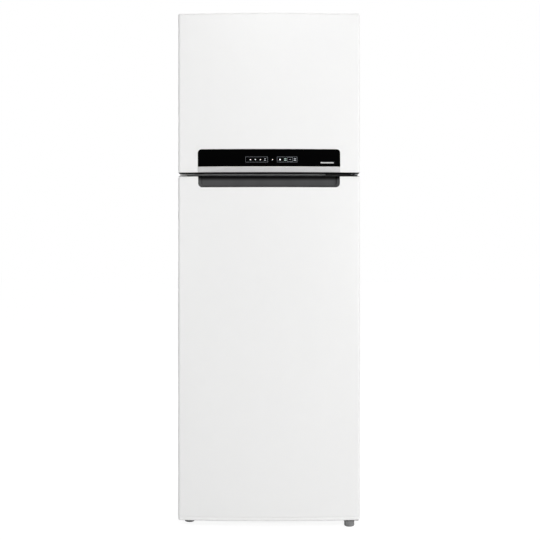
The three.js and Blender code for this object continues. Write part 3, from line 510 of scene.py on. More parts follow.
looks(
    sheet_metal,
    brushed_silver=(((0.58, 0.58, 0.58), 0.33, (0.4, 6, 60), 0.08), {}),
    zinc_steel=(((0.6, 0.62, 0.63), 0.38, (1, 1, 1), 0.05), {"spangle": 0.35}),
    aluminium=(((0.78, 0.79, 0.8), 0.32, (8, 1, 1), 0.1), {}),
    copper=(((0.72, 0.34, 0.19), 0.34, (1, 1, 1), 0.08), {}),
)
looks(
    see_through,
    clear_plastic=(((0.8, 0.86, 0.88), (0.62, 0.72, 0.76), 0.2, 0.8, 0.08, 0.15), {"frost": 0.05}),
    shelf_glass=(((0.8, 0.9, 0.87), (0.35, 0.6, 0.52), 0.14, 0.85, 0.04, 0.02), {}),
)
looks(
    glow,
    led_white=(((0.92, 0.96, 1.0), 1.0), {}),
    led_soft=(((0.6, 0.64, 0.68), 0.4), {}),
    led_dim=(((0.3, 0.32, 0.35), 0.12), {}),
    led_green=(((0.5, 0.66, 0.6), 0.4), {}),
)


# ---- Pieces ----


def piece(name, body, slot, shape, replaces=None, look=None, sharp=32):
    """A shape as an object on a body, with a slot's finish or a look of its own, in place of a CAD node."""
    if not isinstance(shape, Shape):
        shape = joined(shape)
    mesh = bpy.data.meshes.new(name)
    mesh.from_pydata([(x * MM, y * MM, z * MM) for x, y, z in shape.verts], [], shape.faces)
    bm = bmesh.new()
    bm.from_mesh(mesh)
    bmesh.ops.remove_doubles(bm, verts=bm.verts, dist=2e-6)
    bmesh.ops.dissolve_degenerate(bm, edges=bm.edges, dist=1e-6)
    bmesh.ops.recalc_face_normals(bm, faces=bm.faces)
    limit = radians(sharp)
    for face in bm.faces:
        face.smooth = True
    for edge in bm.edges:
        if len(edge.link_faces) != 2 or edge.calc_face_angle(0) > limit:
            edge.smooth = False
    bm.to_mesh(mesh)
    bm.free()
    obj = placed(name, mesh)
    mesh.materials.append(MATERIALS[look or slot])
    normals = obj.modifiers.new("normals", "WEIGHTED_NORMAL")
    normals.keep_sharp = True
    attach(obj, body)
    if replaces:
        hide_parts(replaces)


# ---- Doors ----

HALF = B["freezer_door_skin"].x1
FRONT = B["control_panel"].y0
DOOR_BACK = B["freezer_door_skin"].y1
CROWN = 16
DOOR_EDGE = 9.5
BOW = (HALF**2 + CROWN**2) / (2 * CROWN)
BOW_Y = FRONT + BOW


def front_y(x, depth=0.0):
    """Y of the bowed front at x, that far behind it."""
    return BOW_Y - sqrt((BOW - depth) ** 2 - x * x)


def door_outline(side, front, back, columns=56, arc=8, hem=1.5):
    """The door in plan: straight back, rounded edges, bowed front."""
    half, radius, bow = HALF - side, DOOR_EDGE - side, BOW - front
    edge_x = half - radius
    lean = asin(edge_x / (bow - radius))
    edge_y = BOW_Y - (bow - radius) * cos(lean)
    left = [(-half + s, back - c) for s, c in rounding(hem, 3)]
    left += [(-edge_x + radius * cos(a), edge_y + radius * sin(a)) for a in steps(pi, 1.5 * pi - lean, arc)]
    middle = [(bow * cos(a), BOW_Y + bow * sin(a)) for a in steps(1.5 * pi - lean, 1.5 * pi + lean, columns)]
    return left + middle[1:-1] + [(-x, y) for x, y in reversed(left)]


def door_skin(z0, z1):
    """Folded sheet, open at the back but for a hem on each side."""
    sheet, reach = 0.9, HALF - 13
    outer, inner = door_outline(0, 1, DOOR_BACK), door_outline(sheet, 1 + sheet, DOOR_BACK - sheet, hem=0.6)
    profile = [(-reach, DOOR_BACK), *outer, (reach, DOOR_BACK), (reach, DOOR_BACK - sheet)]
    return prism(profile + inner[::-1] + [(-reach, DOOR_BACK - sheet)], "z", z0, z1)


def door_cap(seam, end, edge):
    """End cap: a plug inside the skin, a small step at the seam, then the outer edge rounded to edge."""
    up = 1 if end > seam else -1
    rows = [(1.4, seam - up * 10), (1.4, seam + up * 0.5), (0.5, seam + up * 0.5), (0.1, seam + up * 1.0)]
    rows += [(0.1 + c, end - up * s) for s, c in rounding(edge, 6)]
    return loft([in_plane(door_outline(side, 1 + side, DOOR_BACK - side, hem=2.5), "z", z) for side, z in rows])


def curved_plate(xs, low, high, near, far, edge=0.4, flat=0.6):
    """A slab that follows the bowed front, its front edges rounded. low and high may be functions of x."""
    low_at = low if callable(low) else (lambda x: low)
    high_at = high if callable(high) else (lambda x: high)
    n = len(xs)
    centre, reach = (xs[0] + xs[-1]) / 2, (xs[-1] - xs[0]) / 2

    def row(inset, depth):
        columns = [(centre + (x - centre) * ((reach - inset) / reach), x) for x in xs]
        below = [(px, front_y(px, depth), low_at(x) + inset) for px, x in columns]
        above = [(px, front_y(px, depth), max(high_at(x) - inset, low_at(x) + inset)) for px, x in columns]
        return below + above[::-1]

    loops = [row(edge + flat, near), *(row(s, near + c) for s, c in rounding(edge, 3)), row(0, far)]
    shape = loft(loops, closed=False)
    last = (len(loops) - 1) * 2 * n
    for i in range(n - 1):
        shape.faces.append([i + 1, i, 2 * n - 1 - i, 2 * n - 2 - i])
        shape.faces.append([last + i, last + i + 1, last + 2 * n - 2 - i, last + 2 * n - 1 - i])
    return shape


panel, strip = B["control_panel"], B["handle_trim"]
PANEL_RADIUS = 12
freezer_skin, fridge_skin = B["freezer_door_skin"], B["fridge_door_skin"]


def panel_top(x):
    over = abs(x) - (panel.x1 - PANEL_RADIUS)
    return panel.z1 - PANEL_RADIUS + sqrt(max(PANEL_RADIUS**2 - max(over, 0) ** 2, 0))


def painted_shade_strip(z, up):
    """A thin dark strip on the end of a door, where the two doors face one another: painted shade for the gap
    between them.
    """
    rows = [(1.0, -0.4), (1.0, 0.7), (1.3, 1.0), (1.9, 1.2)]
    outlines = [(door_outline(side, 2 + side, DOOR_BACK - 1), z + up * rise) for side, rise in rows]
    return loft([in_plane(points, "z", t) for points, t in outlines])


def opening(x, low, high, radius, back):
    """A cutter with rounded corners that reaches from in front of a door to back."""
    return prism(rounded_rect(*x, low, high, radius, 10), "y", FRONT - 10, back)


def freezer_front():
    window = (shrunk(panel.x, -0.25), strip.z0 - 60, panel.z1 + 0.25, PANEL_RADIUS)
    cutter = opening(*window, FRONT + 30)
    skin = cut(door_skin(freezer_skin.z0, freezer_skin.z1), [cutter])
    piece("freezer_door_shell", "freezer_door", "white_paint", skin, "freezer_door_skin", sharp=20)
    upper = door_cap(freezer_skin.z1, B["freezer_door_top_cap"].z1, 2.2)
    piece("freezer_door_cap_top", "freezer_door", "white_plastic", upper, "freezer_door_top_cap")
    bottom = B["freezer_door_bottom_cap"].z0
    lower = cut(door_cap(freezer_skin.z0, bottom, 1.6), [opening(*window, FRONT + 4)])
    piece("freezer_door_cap_bottom", "freezer_door", "white_plastic", lower, "freezer_door_bottom_cap")
    # a dark strip under the freezer door, painted shade for the gap between the doors
    piece("freezer_door_painted_shade_strip", "freezer_door", "grey_rubber", painted_shade_strip(bottom, -1), look="matt_rubber")
    ends = [panel.x1 - PANEL_RADIUS * (1 - sin(a)) for a in quarter(8)]
    xs = [-x for x in reversed(ends)] + steps(-ends[0], ends[0], 44)[1:-1] + ends
    glass = curved_plate(xs, panel.z0 - 0.9, panel_top, 0, 3, 0.7)
    piece("touch_panel", "freezer_door", "gloss_black", glass, "control_panel")
    xs = steps(-strip.x1, strip.x1, 48)
    face = curved_plate(xs, strip.z0, strip.z1 - 1, 0, 3, 0.9)
    sole = curved_plate(xs, strip.z0, strip.z0 + 2, 2, 14, 0.3)
    piece("grip_strip", "freezer_door", "brushed_silver", [face, sole], "handle_trim")


def panel_bar(x0, x1, z0, z1, proud=0.25, edge=0.15):
    count = max(2, int((x1 - x0) / 8))
    return curved_plate(steps(x0, x1, count), z0, z1, -proud, 1.0, edge, 0.05)


def panel_dot(x, z, radius, proud=0.2):
    xs = [x - radius * cos(a) for a in steps(0, pi, 12)]

    def rise(px):
        return sqrt(max(radius**2 - (px - x) ** 2, 1e-4))

    return curved_plate(xs, lambda px: z - rise(px), lambda px: z + rise(px), -proud, 1.0, 0.1, 0.1)


def panel_frame(x0, x1, z0, z1, line=0.5):
    flat = [panel_bar(x0, x1, z, z + line) for z in (z0, z1 - line)]
    upright = [panel_bar(x, x + line, z0 + line, z1 - line) for x in (x0, x1 - line)]
    return joined(flat + upright)


def dash_pair(x, z, reach=3.2, line=1.0):
    return joined([panel_bar(x - reach, x + reach, z + rise, z + rise + line) for rise in (-3.0, 2.0)])


def touch_symbols():
    """Generic lit dots, dashes and boxes on the panel, and a plain slim bar at the right."""
    base = panel.z0
    low, high, mid = base + 13.2, base + 31.4, base + 21.8
    frames = [
        panel_frame(-79.5, -4, low, high),
        panel_frame(27.5, 95.5, low, high, 0.6),
        panel_frame(62.8, 79.6, low + 1.6, high - 1.6, 0.6),
    ]
    piece("panel_frames", "freezer_door", "gloss_black", frames, look="led_dim")
    spots = ((-63, 1.7), (-46.3, 1.7), (-29.3, 1.7), (11.9, 1.2), (37.5, 2.3))
    lit = [panel_dot(x, mid, radius) for x, radius in spots]
    piece("panel_lights", "freezer_door", "gloss_black", lit, look="led_white")
    soft = [dash_pair(-13.3, mid), dash_pair(87.9, mid, 3.6, 1.6), panel_dot(71.3, mid, 1.3)]
    piece("panel_lights_soft", "freezer_door", "gloss_black", soft, look="led_soft")
    green = dash_pair(55.5, mid, 3.8, 1.8)
    piece("panel_lights_green", "freezer_door", "gloss_black", green, look="led_green")
    plain = panel_bar(175, 220, base + 9.4, base + 13.9, 0.7, 0.5)
    piece("panel_bar_plain", "freezer_door", "brushed_silver", plain)


pocket = B["handle_pocket"]


def pocket_outline(inset, rise, radius):
    """The recess seen from the front, from its top left corner down, across and up."""
    half, low, top = pocket.x1 - inset, pocket.z0 - 1.2 + rise, pocket.z1
    side = [(half, z) for z in steps(top, low + radius, 5)]
    side += [(half - c, low + s) for s, c in rounding(radius, 8)][1:]
    floor = [(x, low) for x in steps(-half + radius, half - radius, 40)][1:-1]
    return [(-x, z) for x, z in side] + floor + side[::-1]


def handle_recess():
    """A scooped grip: a sloping rim at each end, then a step down to the curved floor and the back wall."""
    back = pocket.y1 - 2
    rows = [
        (0.2, 0.1, 0.0, 14), (0.7, 0.6, 0.015, 13.5), (1.4, 1.2, 0.06, 13), (2.0, 1.6, 0.13, 13),
        (8.4, 2.4, 0.26, 13),
        (9.2, 2.8, 0.3, 13), (9.8, 3.2, 0.38, 12.5), (10.2, 3.6, 0.55, 12),
    ]
    rows += [(15 - 4.8 * cos(a), 13 - 9.4 * cos(a), 0.55 + 0.45 * sin(a), 11) for a in steps(0.15, pi / 2, 7)]
    loops = []
    for inset, rise, share, radius in rows:
        points = pocket_outline(inset, rise, radius)
        loops.append([(x, front_y(x, 1) * (1 - share) + back * share, z) for x, z in points])
    outside = [[(x * 1.0015, y + 1.2, z - 1.2 * (z < pocket.z1 - 0.5)) for x, y, z in loop] for loop in loops]
    n = len(loops[0])
    verts = [v for loop in loops + outside[::-1] for v in loop]
    faces = []
    total = 2 * len(loops)
    for k in range(total - 1):
        if k == len(loops) - 1:
            continue
        a, b = k * n, (k + 1) * n
        faces += [[a + i, a + i + 1, b + i + 1, b + i] for i in range(n - 1)]
    last, front_out = (len(loops) - 1) * n, (total - 1) * n
    faces += [[last + i for i in range(n)], [last + n + i for i in reversed(range(n))]]
    for k in range(len(loops) - 1):
        a, b = k * n, (k + 1) * n
        c, d = front_out - a, front_out - b
        faces += [[a, b, d, c], [a + n - 1, c + n - 1, d + n - 1, b + n - 1]]
    faces.append([last, last + n - 1, last + n + n - 1, last + n])
    faces += [[i + 1, i, front_out + i, front_out + i + 1] for i in range(n - 1)]
    return Shape(verts, faces)


def fridge_front():
    cutter = opening(shrunk(pocket.x, -0.3), pocket.z0 - 1.5, pocket.z1 + 60, 14, pocket.y1 + 1)
    skin = cut(door_skin(fridge_skin.z0, fridge_skin.z1), [cutter])
    piece("fridge_door_shell", "fridge_door", "white_paint", skin, "fridge_door_skin", sharp=20)
    upper = cut(door_cap(fridge_skin.z1, B["fridge_door_top_cap"].z1, 1.6), [cutter])
    piece("fridge_door_cap_top", "fridge_door", "white_plastic", upper, "fridge_door_top_cap")
    # a dark strip on top of the fridge door, painted shade for the gap between the doors
    strip_top = cut(painted_shade_strip(B["fridge_door_top_cap"].z1, 1), [cutter])
    piece("fridge_door_painted_shade_strip", "fridge_door", "grey_rubber", strip_top, look="matt_rubber")
    lower = door_cap(fridge_skin.z0, B["fridge_door_bottom_cap"].z0, 4.6)
    piece("fridge_door_cap_bottom", "fridge_door", "white_plastic", lower, "fridge_door_bottom_cap")
    piece("grip_recess", "fridge_door", "dark_plastic", handle_recess(), "handle_pocket", look="grip_plastic")


# ---- Inner side of the doors ----


def raised_ring(cavity):
    """The spans of the ring on a door's liner that reaches into a compartment."""
    return shrunk(cavity.x, 18), shrunk(cavity.z, 14)


def inner_door(prefix, cavity, gasket):
    """Formed liner with its raised ring, and the sealing gasket in front of it."""
    sheet, seal = B[prefix + "_liner"], B[prefix + "_gasket"]
    crest, base = sheet.y1, DOOR_BACK + 0.5
    rows = nested(sheet.x, sheet.z, [(0, 3, base - 0.9), (0, 3, base - 0.3), (0.4, 3, base)])
    ring = [
        (-4, 16, base), (-1.6, 14, base + 0.7), (-0.6, 13, base + 3), (0, 12, crest - 6),
        (0.6, 11.5, crest - 3),
        (2, 11, crest - 1), (4.5, 10, crest), (21, 9, crest), (23.5, 9, crest - 0.8), (25, 9, crest - 2.6),
        (26, 9, crest - 6), (26.6, 10, base + 4), (28, 10, base + 1.2), (31, 10, base), (46, 12, base),
        (47.5, 11, base + 1.2), (56, 9, base + 1.2), (57.5, 9, base),
    ]
    rows += nested(*raised_ring(cavity), ring)
    piece(prefix + "_inner_panel", prefix, "liner_plastic", loft_rects(rows, "y", 6), prefix + "_liner")
    section = [
        (0, 0), (0.2, 2.6), (2.6, 4.2), (0.6, 5.8), (0, 8.6), (0.6, 11), (2.2, 11.9), (13, 11.9), (15, 11.2),
        (15.6, 8.4), (13.6, 6.2), (15.2, 4.6), (18.4, 3.4), (19, 1.6), (19, 0),
    ]
    rows = nested(seal.x, seal.z, [(i, max(10 - i * 0.4, 2), seal.y0 + y) for i, y in section])
    piece(gasket, prefix, "gasket_vinyl", loft_rects(rows, "y", 5, ring=True), prefix + "_gasket", sharp=50)


def door_core(prefix, cavity, cutters=()):
    """Foam filling of a door: a slab, and the filling of the liner's raised ring."""
    b, root = B[prefix + "_foam"], DOOR_BACK - 1.5
    slab = prism(door_outline(1.4, 2.4, DOOR_BACK - 0.4), "z", b.z0, b.z1)
    if cutters:
        slab = cut(slab, cutters)
    section = [
        (2.2, 10, root), (2.4, 9, b.y1 - 1), (3.6, 9, b.y1), (22.4, 8, b.y1), (24, 8, b.y1 - 1), (24.4, 9, root)
    ]
    ring = loft_rects(nested(*raised_ring(cavity), section), "y", 6, ring=True)
    piece(prefix + "_core", prefix, "foam", [slab, ring], prefix + "_foam")


def tub(x, y, z, wall=2.0, radius=10, draft=2.0, rim=3.0, n=6):
    """An open bin with drafted walls, a rolled rim and a rounded bottom."""
    z0, z1 = z
    rows = [
        (draft + 4, z0), (draft + 1.6, z0 + 0.6), (draft + 0.5, z0 + 2.2), (draft + 0.2, z0 + 5),
        (1.1, z1 - rim - 0.8), (0, z1 - rim), (0, z1 - 0.7), (0.5, z1), (wall, z1), (wall + 0.6, z1 - 0.6),
        (wall + 0.9, z1 - rim - 1), (wall + draft, z0 + wall + 5), (wall + draft + 1.4, z0 + wall + 1.4),
        (wall + draft + 5, z0 + wall),
    ]
    return loft_rects(nested(x, y, [(i, max(radius - i * 0.5, 1), t) for i, t in rows]), "z", n)


def bin_of(node, name, body, **how):
    """A clear door bin, with two bars behind its rim."""
    b = B[node]
    bars = [block(shrunk(b.x, 14), (b.y1 - 2.6, b.y1 - 0.4), about(z, 1), 0.6) for z in (b.z1 - 12, b.z1 - 17)]
    piece(name, body, "clear_plastic", [tub(b.x, b.y, b.z, **how), *bars], node)


def door_fittings():
    door_core("freezer_door", FREEZER)
    cutter = opening(shrunk(pocket.x, -3), pocket.z0 - 3, pocket.z1 + 60, 14, pocket.y1 + 1.5)
    door_core("fridge_door", FRIDGE, [cutter])
    inner_door("freezer_door", FREEZER, "freezer_gasket")
    inner_door("fridge_door", FRIDGE, "fridge_gasket")
    bin_of("freezer_door_bin", "freezer_bin_clear", "freezer_door")
    bin_of("door_bin_middle", "middle_bin_clear", "fridge_door")
    bin_of("bottle_bin", "bottle_bin_clear", "fridge_door", draft=3)


def dairy_fittings():
    """The dairy bin with an ear at each end, and the lid that turns in them."""
    dairy, lid = B["dairy_bin"], B["dairy_lid"]
    pivot = next(j for j in frame["joints"] if j["name"] == "dairy_lid_hinge")["pos_m"]
    py, pz = pivot[1] / MM, pivot[2] / MM
    body = tub(dairy.x, dairy.y, (dairy.z0, pz - 6))
    outline = [(py - 8, pz - 9), (py + 8, pz - 9)]
    outline += [(py + 8 * cos(a), pz - 1 + 8 * sin(a)) for a in steps(0, pi, 12)]
    ears = both_sides(prism(outline, "x", dairy.x1 - 2, dairy.x1))
    piece("dairy_bin_clear", "fridge_door", "clear_plastic", [body, ears], "dairy_bin")
    front, half = lid.y1, lid.x1 - 2
    profile = [
        (py - 4, pz - 1), (front - 9, pz - 1), (front - 3.5, pz - 2.6), (front - 1, pz - 5), (front, pz - 4.2),
        (front - 2.2, pz - 1), (front - 6.5, pz + 1), (front - 10, pz + 1.5),
        (py - 3.4, pz + 1.5), (py - 4, pz + 1),
    ]
    pins = [(2.2, -half - 1.8), (2.5, -half - 1.4), (2.5, half + 1.4), (2.2, half + 1.8)]
    shapes = [prism(profile, "x", -half, half), lathe(pins, (py, pz), "x", 20)]
    piece("dairy_lid_clear", "dairy_lid", "clear_plastic", shapes, "dairy_lid")


# ---- Cabinet ----

wrapper = B["cabinet_wrapper"]
SHADE_BANDS_Z = 1202.4  # where the painted shade band in the gap meets the darker painted shadow band below it
COMPRESSOR_X, COMPRESSOR_Y = 30, 205


def arch(half, top, radius, inner_half, inner_top, inner_radius, low, y):
    """An upside-down U at y: the outer path from the left foot over to the right, and the inner path back."""

    def path(h, t, r):
        side = [(h, low), *((h - c, t - s) for s, c in rounding(r, 8))]
        return [(-x, z) for x, z in side] + side[::-1]

    return in_plane(path(half, top, radius) + path(inner_half, inner_top, inner_radius)[::-1], "y", y)


def cabinet_shell():
    """The wrapper, and the rail between the doors with a grey band and a black band on it, painted shade in the
    gap.
    """
    half, top, low, front, back = wrapper.x1, wrapper.z1, wrapper.z0, wrapper.y0, wrapper.y1
    lip = (half - 24, top - 24, 2)
    loops = [
        arch(half - inset, top - inset, 6, *lip, low, y)
        for inset, y in ((1.3, front), (0.5, front + 0.25), (0.1, front + 0.8), (0, front + 1.4))
    ]
    loops += [arch(half, top, 6, half - 1, top - 1, 5, low, y) for y in (front + 1.4, back)]
    piece("cabinet_shell", "cabinet", "white_paint", loft(loops), "cabinet_wrapper")
    rail = B["middle_rail"]
    piece("door_gap_rail", "cabinet", "white_paint", block(rail.x, rail.y, rail.z, 0.6), "middle_rail")
    x, y, seam = shrunk(rail.x, 1), (rail.y0 - 1.2, rail.y0 + 1), SHADE_BANDS_Z
    # a grey band and a black band below it: painted shade and painted shadow on the rail in the gap between the
    # doors
    piece("door_gap_painted_shade_band", "cabinet", "grey_rubber", block(x, y, (seam, seam + 3.2), 0.5), look="pale_rubber")
    piece("door_gap_painted_shadow_band", "cabinet", "grey_rubber", block(x, y, (rail.z0 + 5, seam), 0.5), look="black_rubber")


def pillow(x, z, y, rise, corner=12):
    """A pressed rib standing proud of the rear sheet."""
    rows = [(0, y), (1.5, y + rise * 0.35), (3.5, y + rise * 0.85), (6, y + rise)]
    return loft_rects(nested(x, z, [(i, max(corner - i, 1), t) for i, t in rows]), "y", 6)


def rear_sheet():
    r = B["rear_panel"]
    half, top, low, face = r.x1 + 1.8, r.z1 + 1.8, r.z0 - 1.9, r.y1 - 0.1
    corner = [(half - c, top - s) for s, c in rounding(6, 6)]
    outline = [(half, low), *corner, *((-x, z) for x, z in reversed(corner)), (-half, low)]
    sheet = [prism(outline, "y", r.y0, r.y1)]
    for z in (r.z0 + 120 + k * 285 for k in range(5)):
        sheet += [pillow(x, (z, z + 26), face, 1.6) for x in ((-250, -20), (20, 250))]
        sheet.append(pillow((-14, 14), (z + 50, z + 250), face, 1.6))
    piece("rear_sheet", "cabinet", "zinc_steel", sheet, "rear_panel")
    places = [(side * (r.x1 - 9), z) for side in (-1, 1) for z in steps(r.z0 + 20, r.z1 - 20, 7)]
    places += [(x, r.z1 - 9) for x in (-200, -70, 70, 200)] + [(x, r.z0 + 9) for x in (-220, 220)]
    piece("rear_screws", "cabinet", "zinc_steel", [screw((x, r.y1, z), "y", 3.2, 2.2) for x, z in places])


def machine_room():
    """Zinc lining of the niche behind the compressor and over it."""
    x, front, top = (-304.2, 304.2), 107.9, 216
    wall = block(x, (front, front + 0.8), (30.5, top), 0.3)
    ceiling = block(x, (front + 0.8, 304), (top - 0.8, top), 0.3)
    piece("machine_room_sheet", "cabinet", "zinc_steel", [wall, ceiling])


def condenser():
    """A wire-on-tube condenser: one bent tube, upright rods on both its sides, and straps that hold it."""
    coil, wires, sheet = B["condenser_coil"], B["condenser_wires"], B["rear_panel"]
    radius, low, pitch, passes = 2.5, 330, 130, 10
    half, y, turn_y = coil.x1 - radius + 0.3, coil.y1 - radius, COMPRESSOR_Y
    x, z = -92.5, 150
    corners = [(B["compressor"].x0 + 30, turn_y, z), (x, turn_y, z), (x, y - 50, z), (-half, y - 50, z)]
    corners.append((-half, y, 240))
    for i in range(passes):
        side = 1 if i % 2 else -1
        corners += [(side * half, y, low + i * pitch), (-side * half, y, low + i * pitch)]
    coiled = tube(bent(corners, 20, 10), radius, 12)
    piece("condenser_tube", "cabinet", "black_steel", coiled, "condenser_coil", sharp=60)
    rods = [
        tube([(x, rod_y, wires.z0), (x, rod_y, wires.z1)], 0.75, 6)
        for x in steps(-232, 232, 42) for rod_y in (y + radius + 0.7, y - radius - 0.7)
    ]
    piece("condenser_rods", "cabinet", "black_steel", rods, "condenser_wires", sharp=70)
    straps, feet = [], []
    for level in (low + share * pitch for share in (0.5, 4.5, 8.5)):
        straps.append(block((-268, 268), (y + 4.6, y + 6.2), about(level, 8), 0.5, 4, "y"))
        for side in (-1, 1):
            x = sorted((side * 260, side * 268))
            straps.append(block(x, (sheet.y1 + 0.3, wires.y1 - 3), about(level, 8), 0.8))
            straps.append(block(x, (sheet.y1 + 0.3, sheet.y1 + 2), about(level, 20), 0.6))
            straps.append(screw((side * 264, wires.y1 - 8.2, level + 13.5), "y", 2.2, 1.6))
            feet.append(block(shrunk(x, -1.5), (wires.y1 - 8, wires.y1), about(level, 10), 1.8, 3, "y"))
    piece("condenser_brackets", "cabinet", "black_steel", straps)
    piece("wall_spacers", "cabinet", "dark_plastic", feet)


def compressor():
    """The compressor on its cradle, with grommets, bolts, copper pipes and relay, and the melt-water pan."""
    cx, cy, base = COMPRESSOR_X, COMPRESSOR_Y, B["compressor"].z0
    profile = [
        (0, 10), (48, 10), (60, 12), (68, 16), (73, 24), (75.4, 36), (76, 48), (76, 82), (76.3, 84.6),
        (79, 85.2), (79.4, 86), (79.4, 90), (79, 90.8), (76, 91.2), (75.4, 93), (74.6, 106), (72.6, 118),
        (69, 129), (63, 138), (54, 145), (43, 149.6), (30, 151.6), (14, 152), (0, 152),
    ]
    shell = lathe([(max(r, 0.02), base + h) for r, h in profile], (cx, cy), "z", 72)
    ribs = [block(about(cx, a), about(cy, b), (base + 148, base + 152.2), 1.6) for a, b in ((34, 3), (3, 34))]
    cradle = block(about(cx, 104), about(cy, 52), (base + 8, base + 11), 1.0, 10)
    rims = [block(about(cx, 100), about(cy + s * 50, 1.2), (base + 10, base + 16), 0.8) for s in (-1, 1)]
    piece("compressor_shell", "cabinet", "black_steel", [shell, cradle, *ribs, *rims], "compressor")
    spots = [(cx + dx, cy + dy) for dx in (-92, 92) for dy in (-40, 40)]
    ring = [(5, 0), (9, 0), (10, 1), (10, 2.6), (8.4, 3.4), (8.4, 5), (10, 6), (10, 8), (9, 9), (5, 9)]
    collar = [(9, 11), (9.4, 11.6), (9.4, 13.4), (8.6, 14), (5, 14), (5, 11)]
    grommets = [
        lathe([(r, base + h) for r, h in part], spot, "z", 28) for spot in spots for part in (ring, collar)
    ]
    piece("compressor_grommets", "cabinet", "grey_rubber", grommets)
    bolts = [screw((x, y, base + 14), "z", 4, 3.4) for x, y in spots]
    piece("compressor_bolts", "cabinet", "zinc_steel", bolts)
    suction = tube(bent([(-42, 180, 118), (-98, 180, 118), (-98, 180, 217)], 16), 4, 14)
    process = tube(bent([(-36, 236, 96), (-70, 252, 96), (-70, 252, 132)], 12), 3, 12)
    crimp = block((-73.5, -66.5), (251, 253), (130, 140), 0.8)
    sleeve = lathe([(5.2, -58), (5.4, -57.4), (5.4, -47), (5.2, -46)], (180, 118), "x", 20)
    piece("copper_pipes", "cabinet", "zinc_steel", [suction, process, crimp, sleeve], look="copper")
    r = B["relay_box"]
    cover = block(r.x, r.y, r.z, 4, 7, "x")
    places = steps(*shrunk(r.y, 10), 6)
    fins = [block((r.x1 - 2, r.x1 + 0.6), about(y, 0.8), shrunk(r.z, 10), 0.5) for y in places]
    piece("relay_cover", "cabinet", "dark_plastic", [cover, *fins], "relay_box")
    y, right = r.y0 + 8, r.x1 + 1.6
    clip = tube(bent([(r.x0 - 2, y, r.z1 + 2), (right, y, r.z1 + 2), (right, y, r.z0 - 2)], 4), 1, 8)
    piece("relay_clip", "cabinet", "zinc_steel", clip)
    d = B["drain_pan"]
    piece("melt_water_pan", "cabinet", "dark_plastic", tub(d.x, d.y, d.z, radius=14, draft=5), "drain_pan")


# ---- Inner boxes ----


def inner_box(name, node, outside, inside, levels, half):
    """A formed liner: its outer face from the back forward, its flange, its clear inside, and shelf ledges."""
    flange = B[node]
    rim = nested(flange.x, flange.z, [(0, 3, flange.y0 + 1.4), (0, 3, flange.y0)])
    box = loft_rects(outside + rim + inside, "y", 6)
    piece(name, "cabinet", "liner_plastic", [box, *(shelf_ledges(half, level) for level in levels)], node)


def freezer_box():
    room, front, back = FREEZER, B["freezer_liner"].y0, FREEZER.y1
    outside = [(-1.4, 13, back + 1.4), (-1.4, 13, front + 1.5)]
    inside = [
        (-5, 14, front), (-2.4, 13, front + 0.6), (-0.7, 12.5, front + 2.4), (0, 12, front + 5.5),
        (0, 12, back - 12), (1, 12, back - 7), (4, 10, back - 2.6), (9, 8, back - 0.6), (14, 6, back),
    ]
    outside, inside = (nested(room.x, room.z, rows) for rows in (outside, inside))
    inner_box("freezer_inner_box", "freezer_liner", outside, inside, [B["freezer_shelf"].z0], room.x1)


def shelf_ledges(half, level):
    ledge = block((half - 7, half + 0.6), (-149, 167), (level - 9.2, level - 0.3), 1.6, 3, "y")
    bumps = [block((half - 5, half + 0.5), about(y, 3), (level + 5, level + 11), 1.4) for y in (-120, 160)]
    return both_sides(joined([ledge, *bumps]))


def fridge_box():
    """The fridge's liner, with a step at the bottom for the compressor's niche."""
    room, front, back = FRIDGE, B["fridge_liner"].y0, FRIDGE.y1
    step_y, step_z = 62, 262

    def row(inset, radius, y, floor=room.z0):
        return nested(room.x, (floor, room.z1), [(inset, radius, y)])[0]

    outside = [row(-1.4, 17, back + 1.4, step_z), row(-1.4, 17, step_y - 1.4, step_z)]
    outside += [row(-1.4, 17, step_y - 2), row(-1.4, 17, front + 1.5)]
    riser = [
        (88, step_y - 12), (88.8, step_y - 6), (91.5, step_y - 2), (97, step_y), (250, step_y),
        (257, step_y + 0.8), (260.6, step_y + 3), (step_z, step_y + 8),
    ]
    mouth = [(-6, 20, front), (-2.8, 18, front + 0.6), (-0.8, 17, front + 2.6), (0, 16, front + 6)]
    end = [(0, 16, back - 14), (1, 14, back - 8), (4, 12, back - 3), (9, 10, back - 0.7), (15, 8, back)]
    inside = [row(*part) for part in mouth] + [row(0, 16, y, z) for z, y in riser]
    inside += [row(*part, step_z) for part in end]
    levels = SHELF_LEVELS + [B["crisper_cover"].z0 + 7]
    inner_box("fridge_inner_box", "fridge_liner", outside, inside, levels, room.x1)


# ---- Shelves, drawers and bins ----


def glass_pane(b):
    return block(b.x, b.y, b.z, 0.7, 5)


def shelf_trim(b, y0, y1, low, high):
    """A moulded nosing along a shelf's front or back edge."""
    return block(shrunk(b.x, -0.2), (y0, y1), (low, high), 1.5, 3, "x")


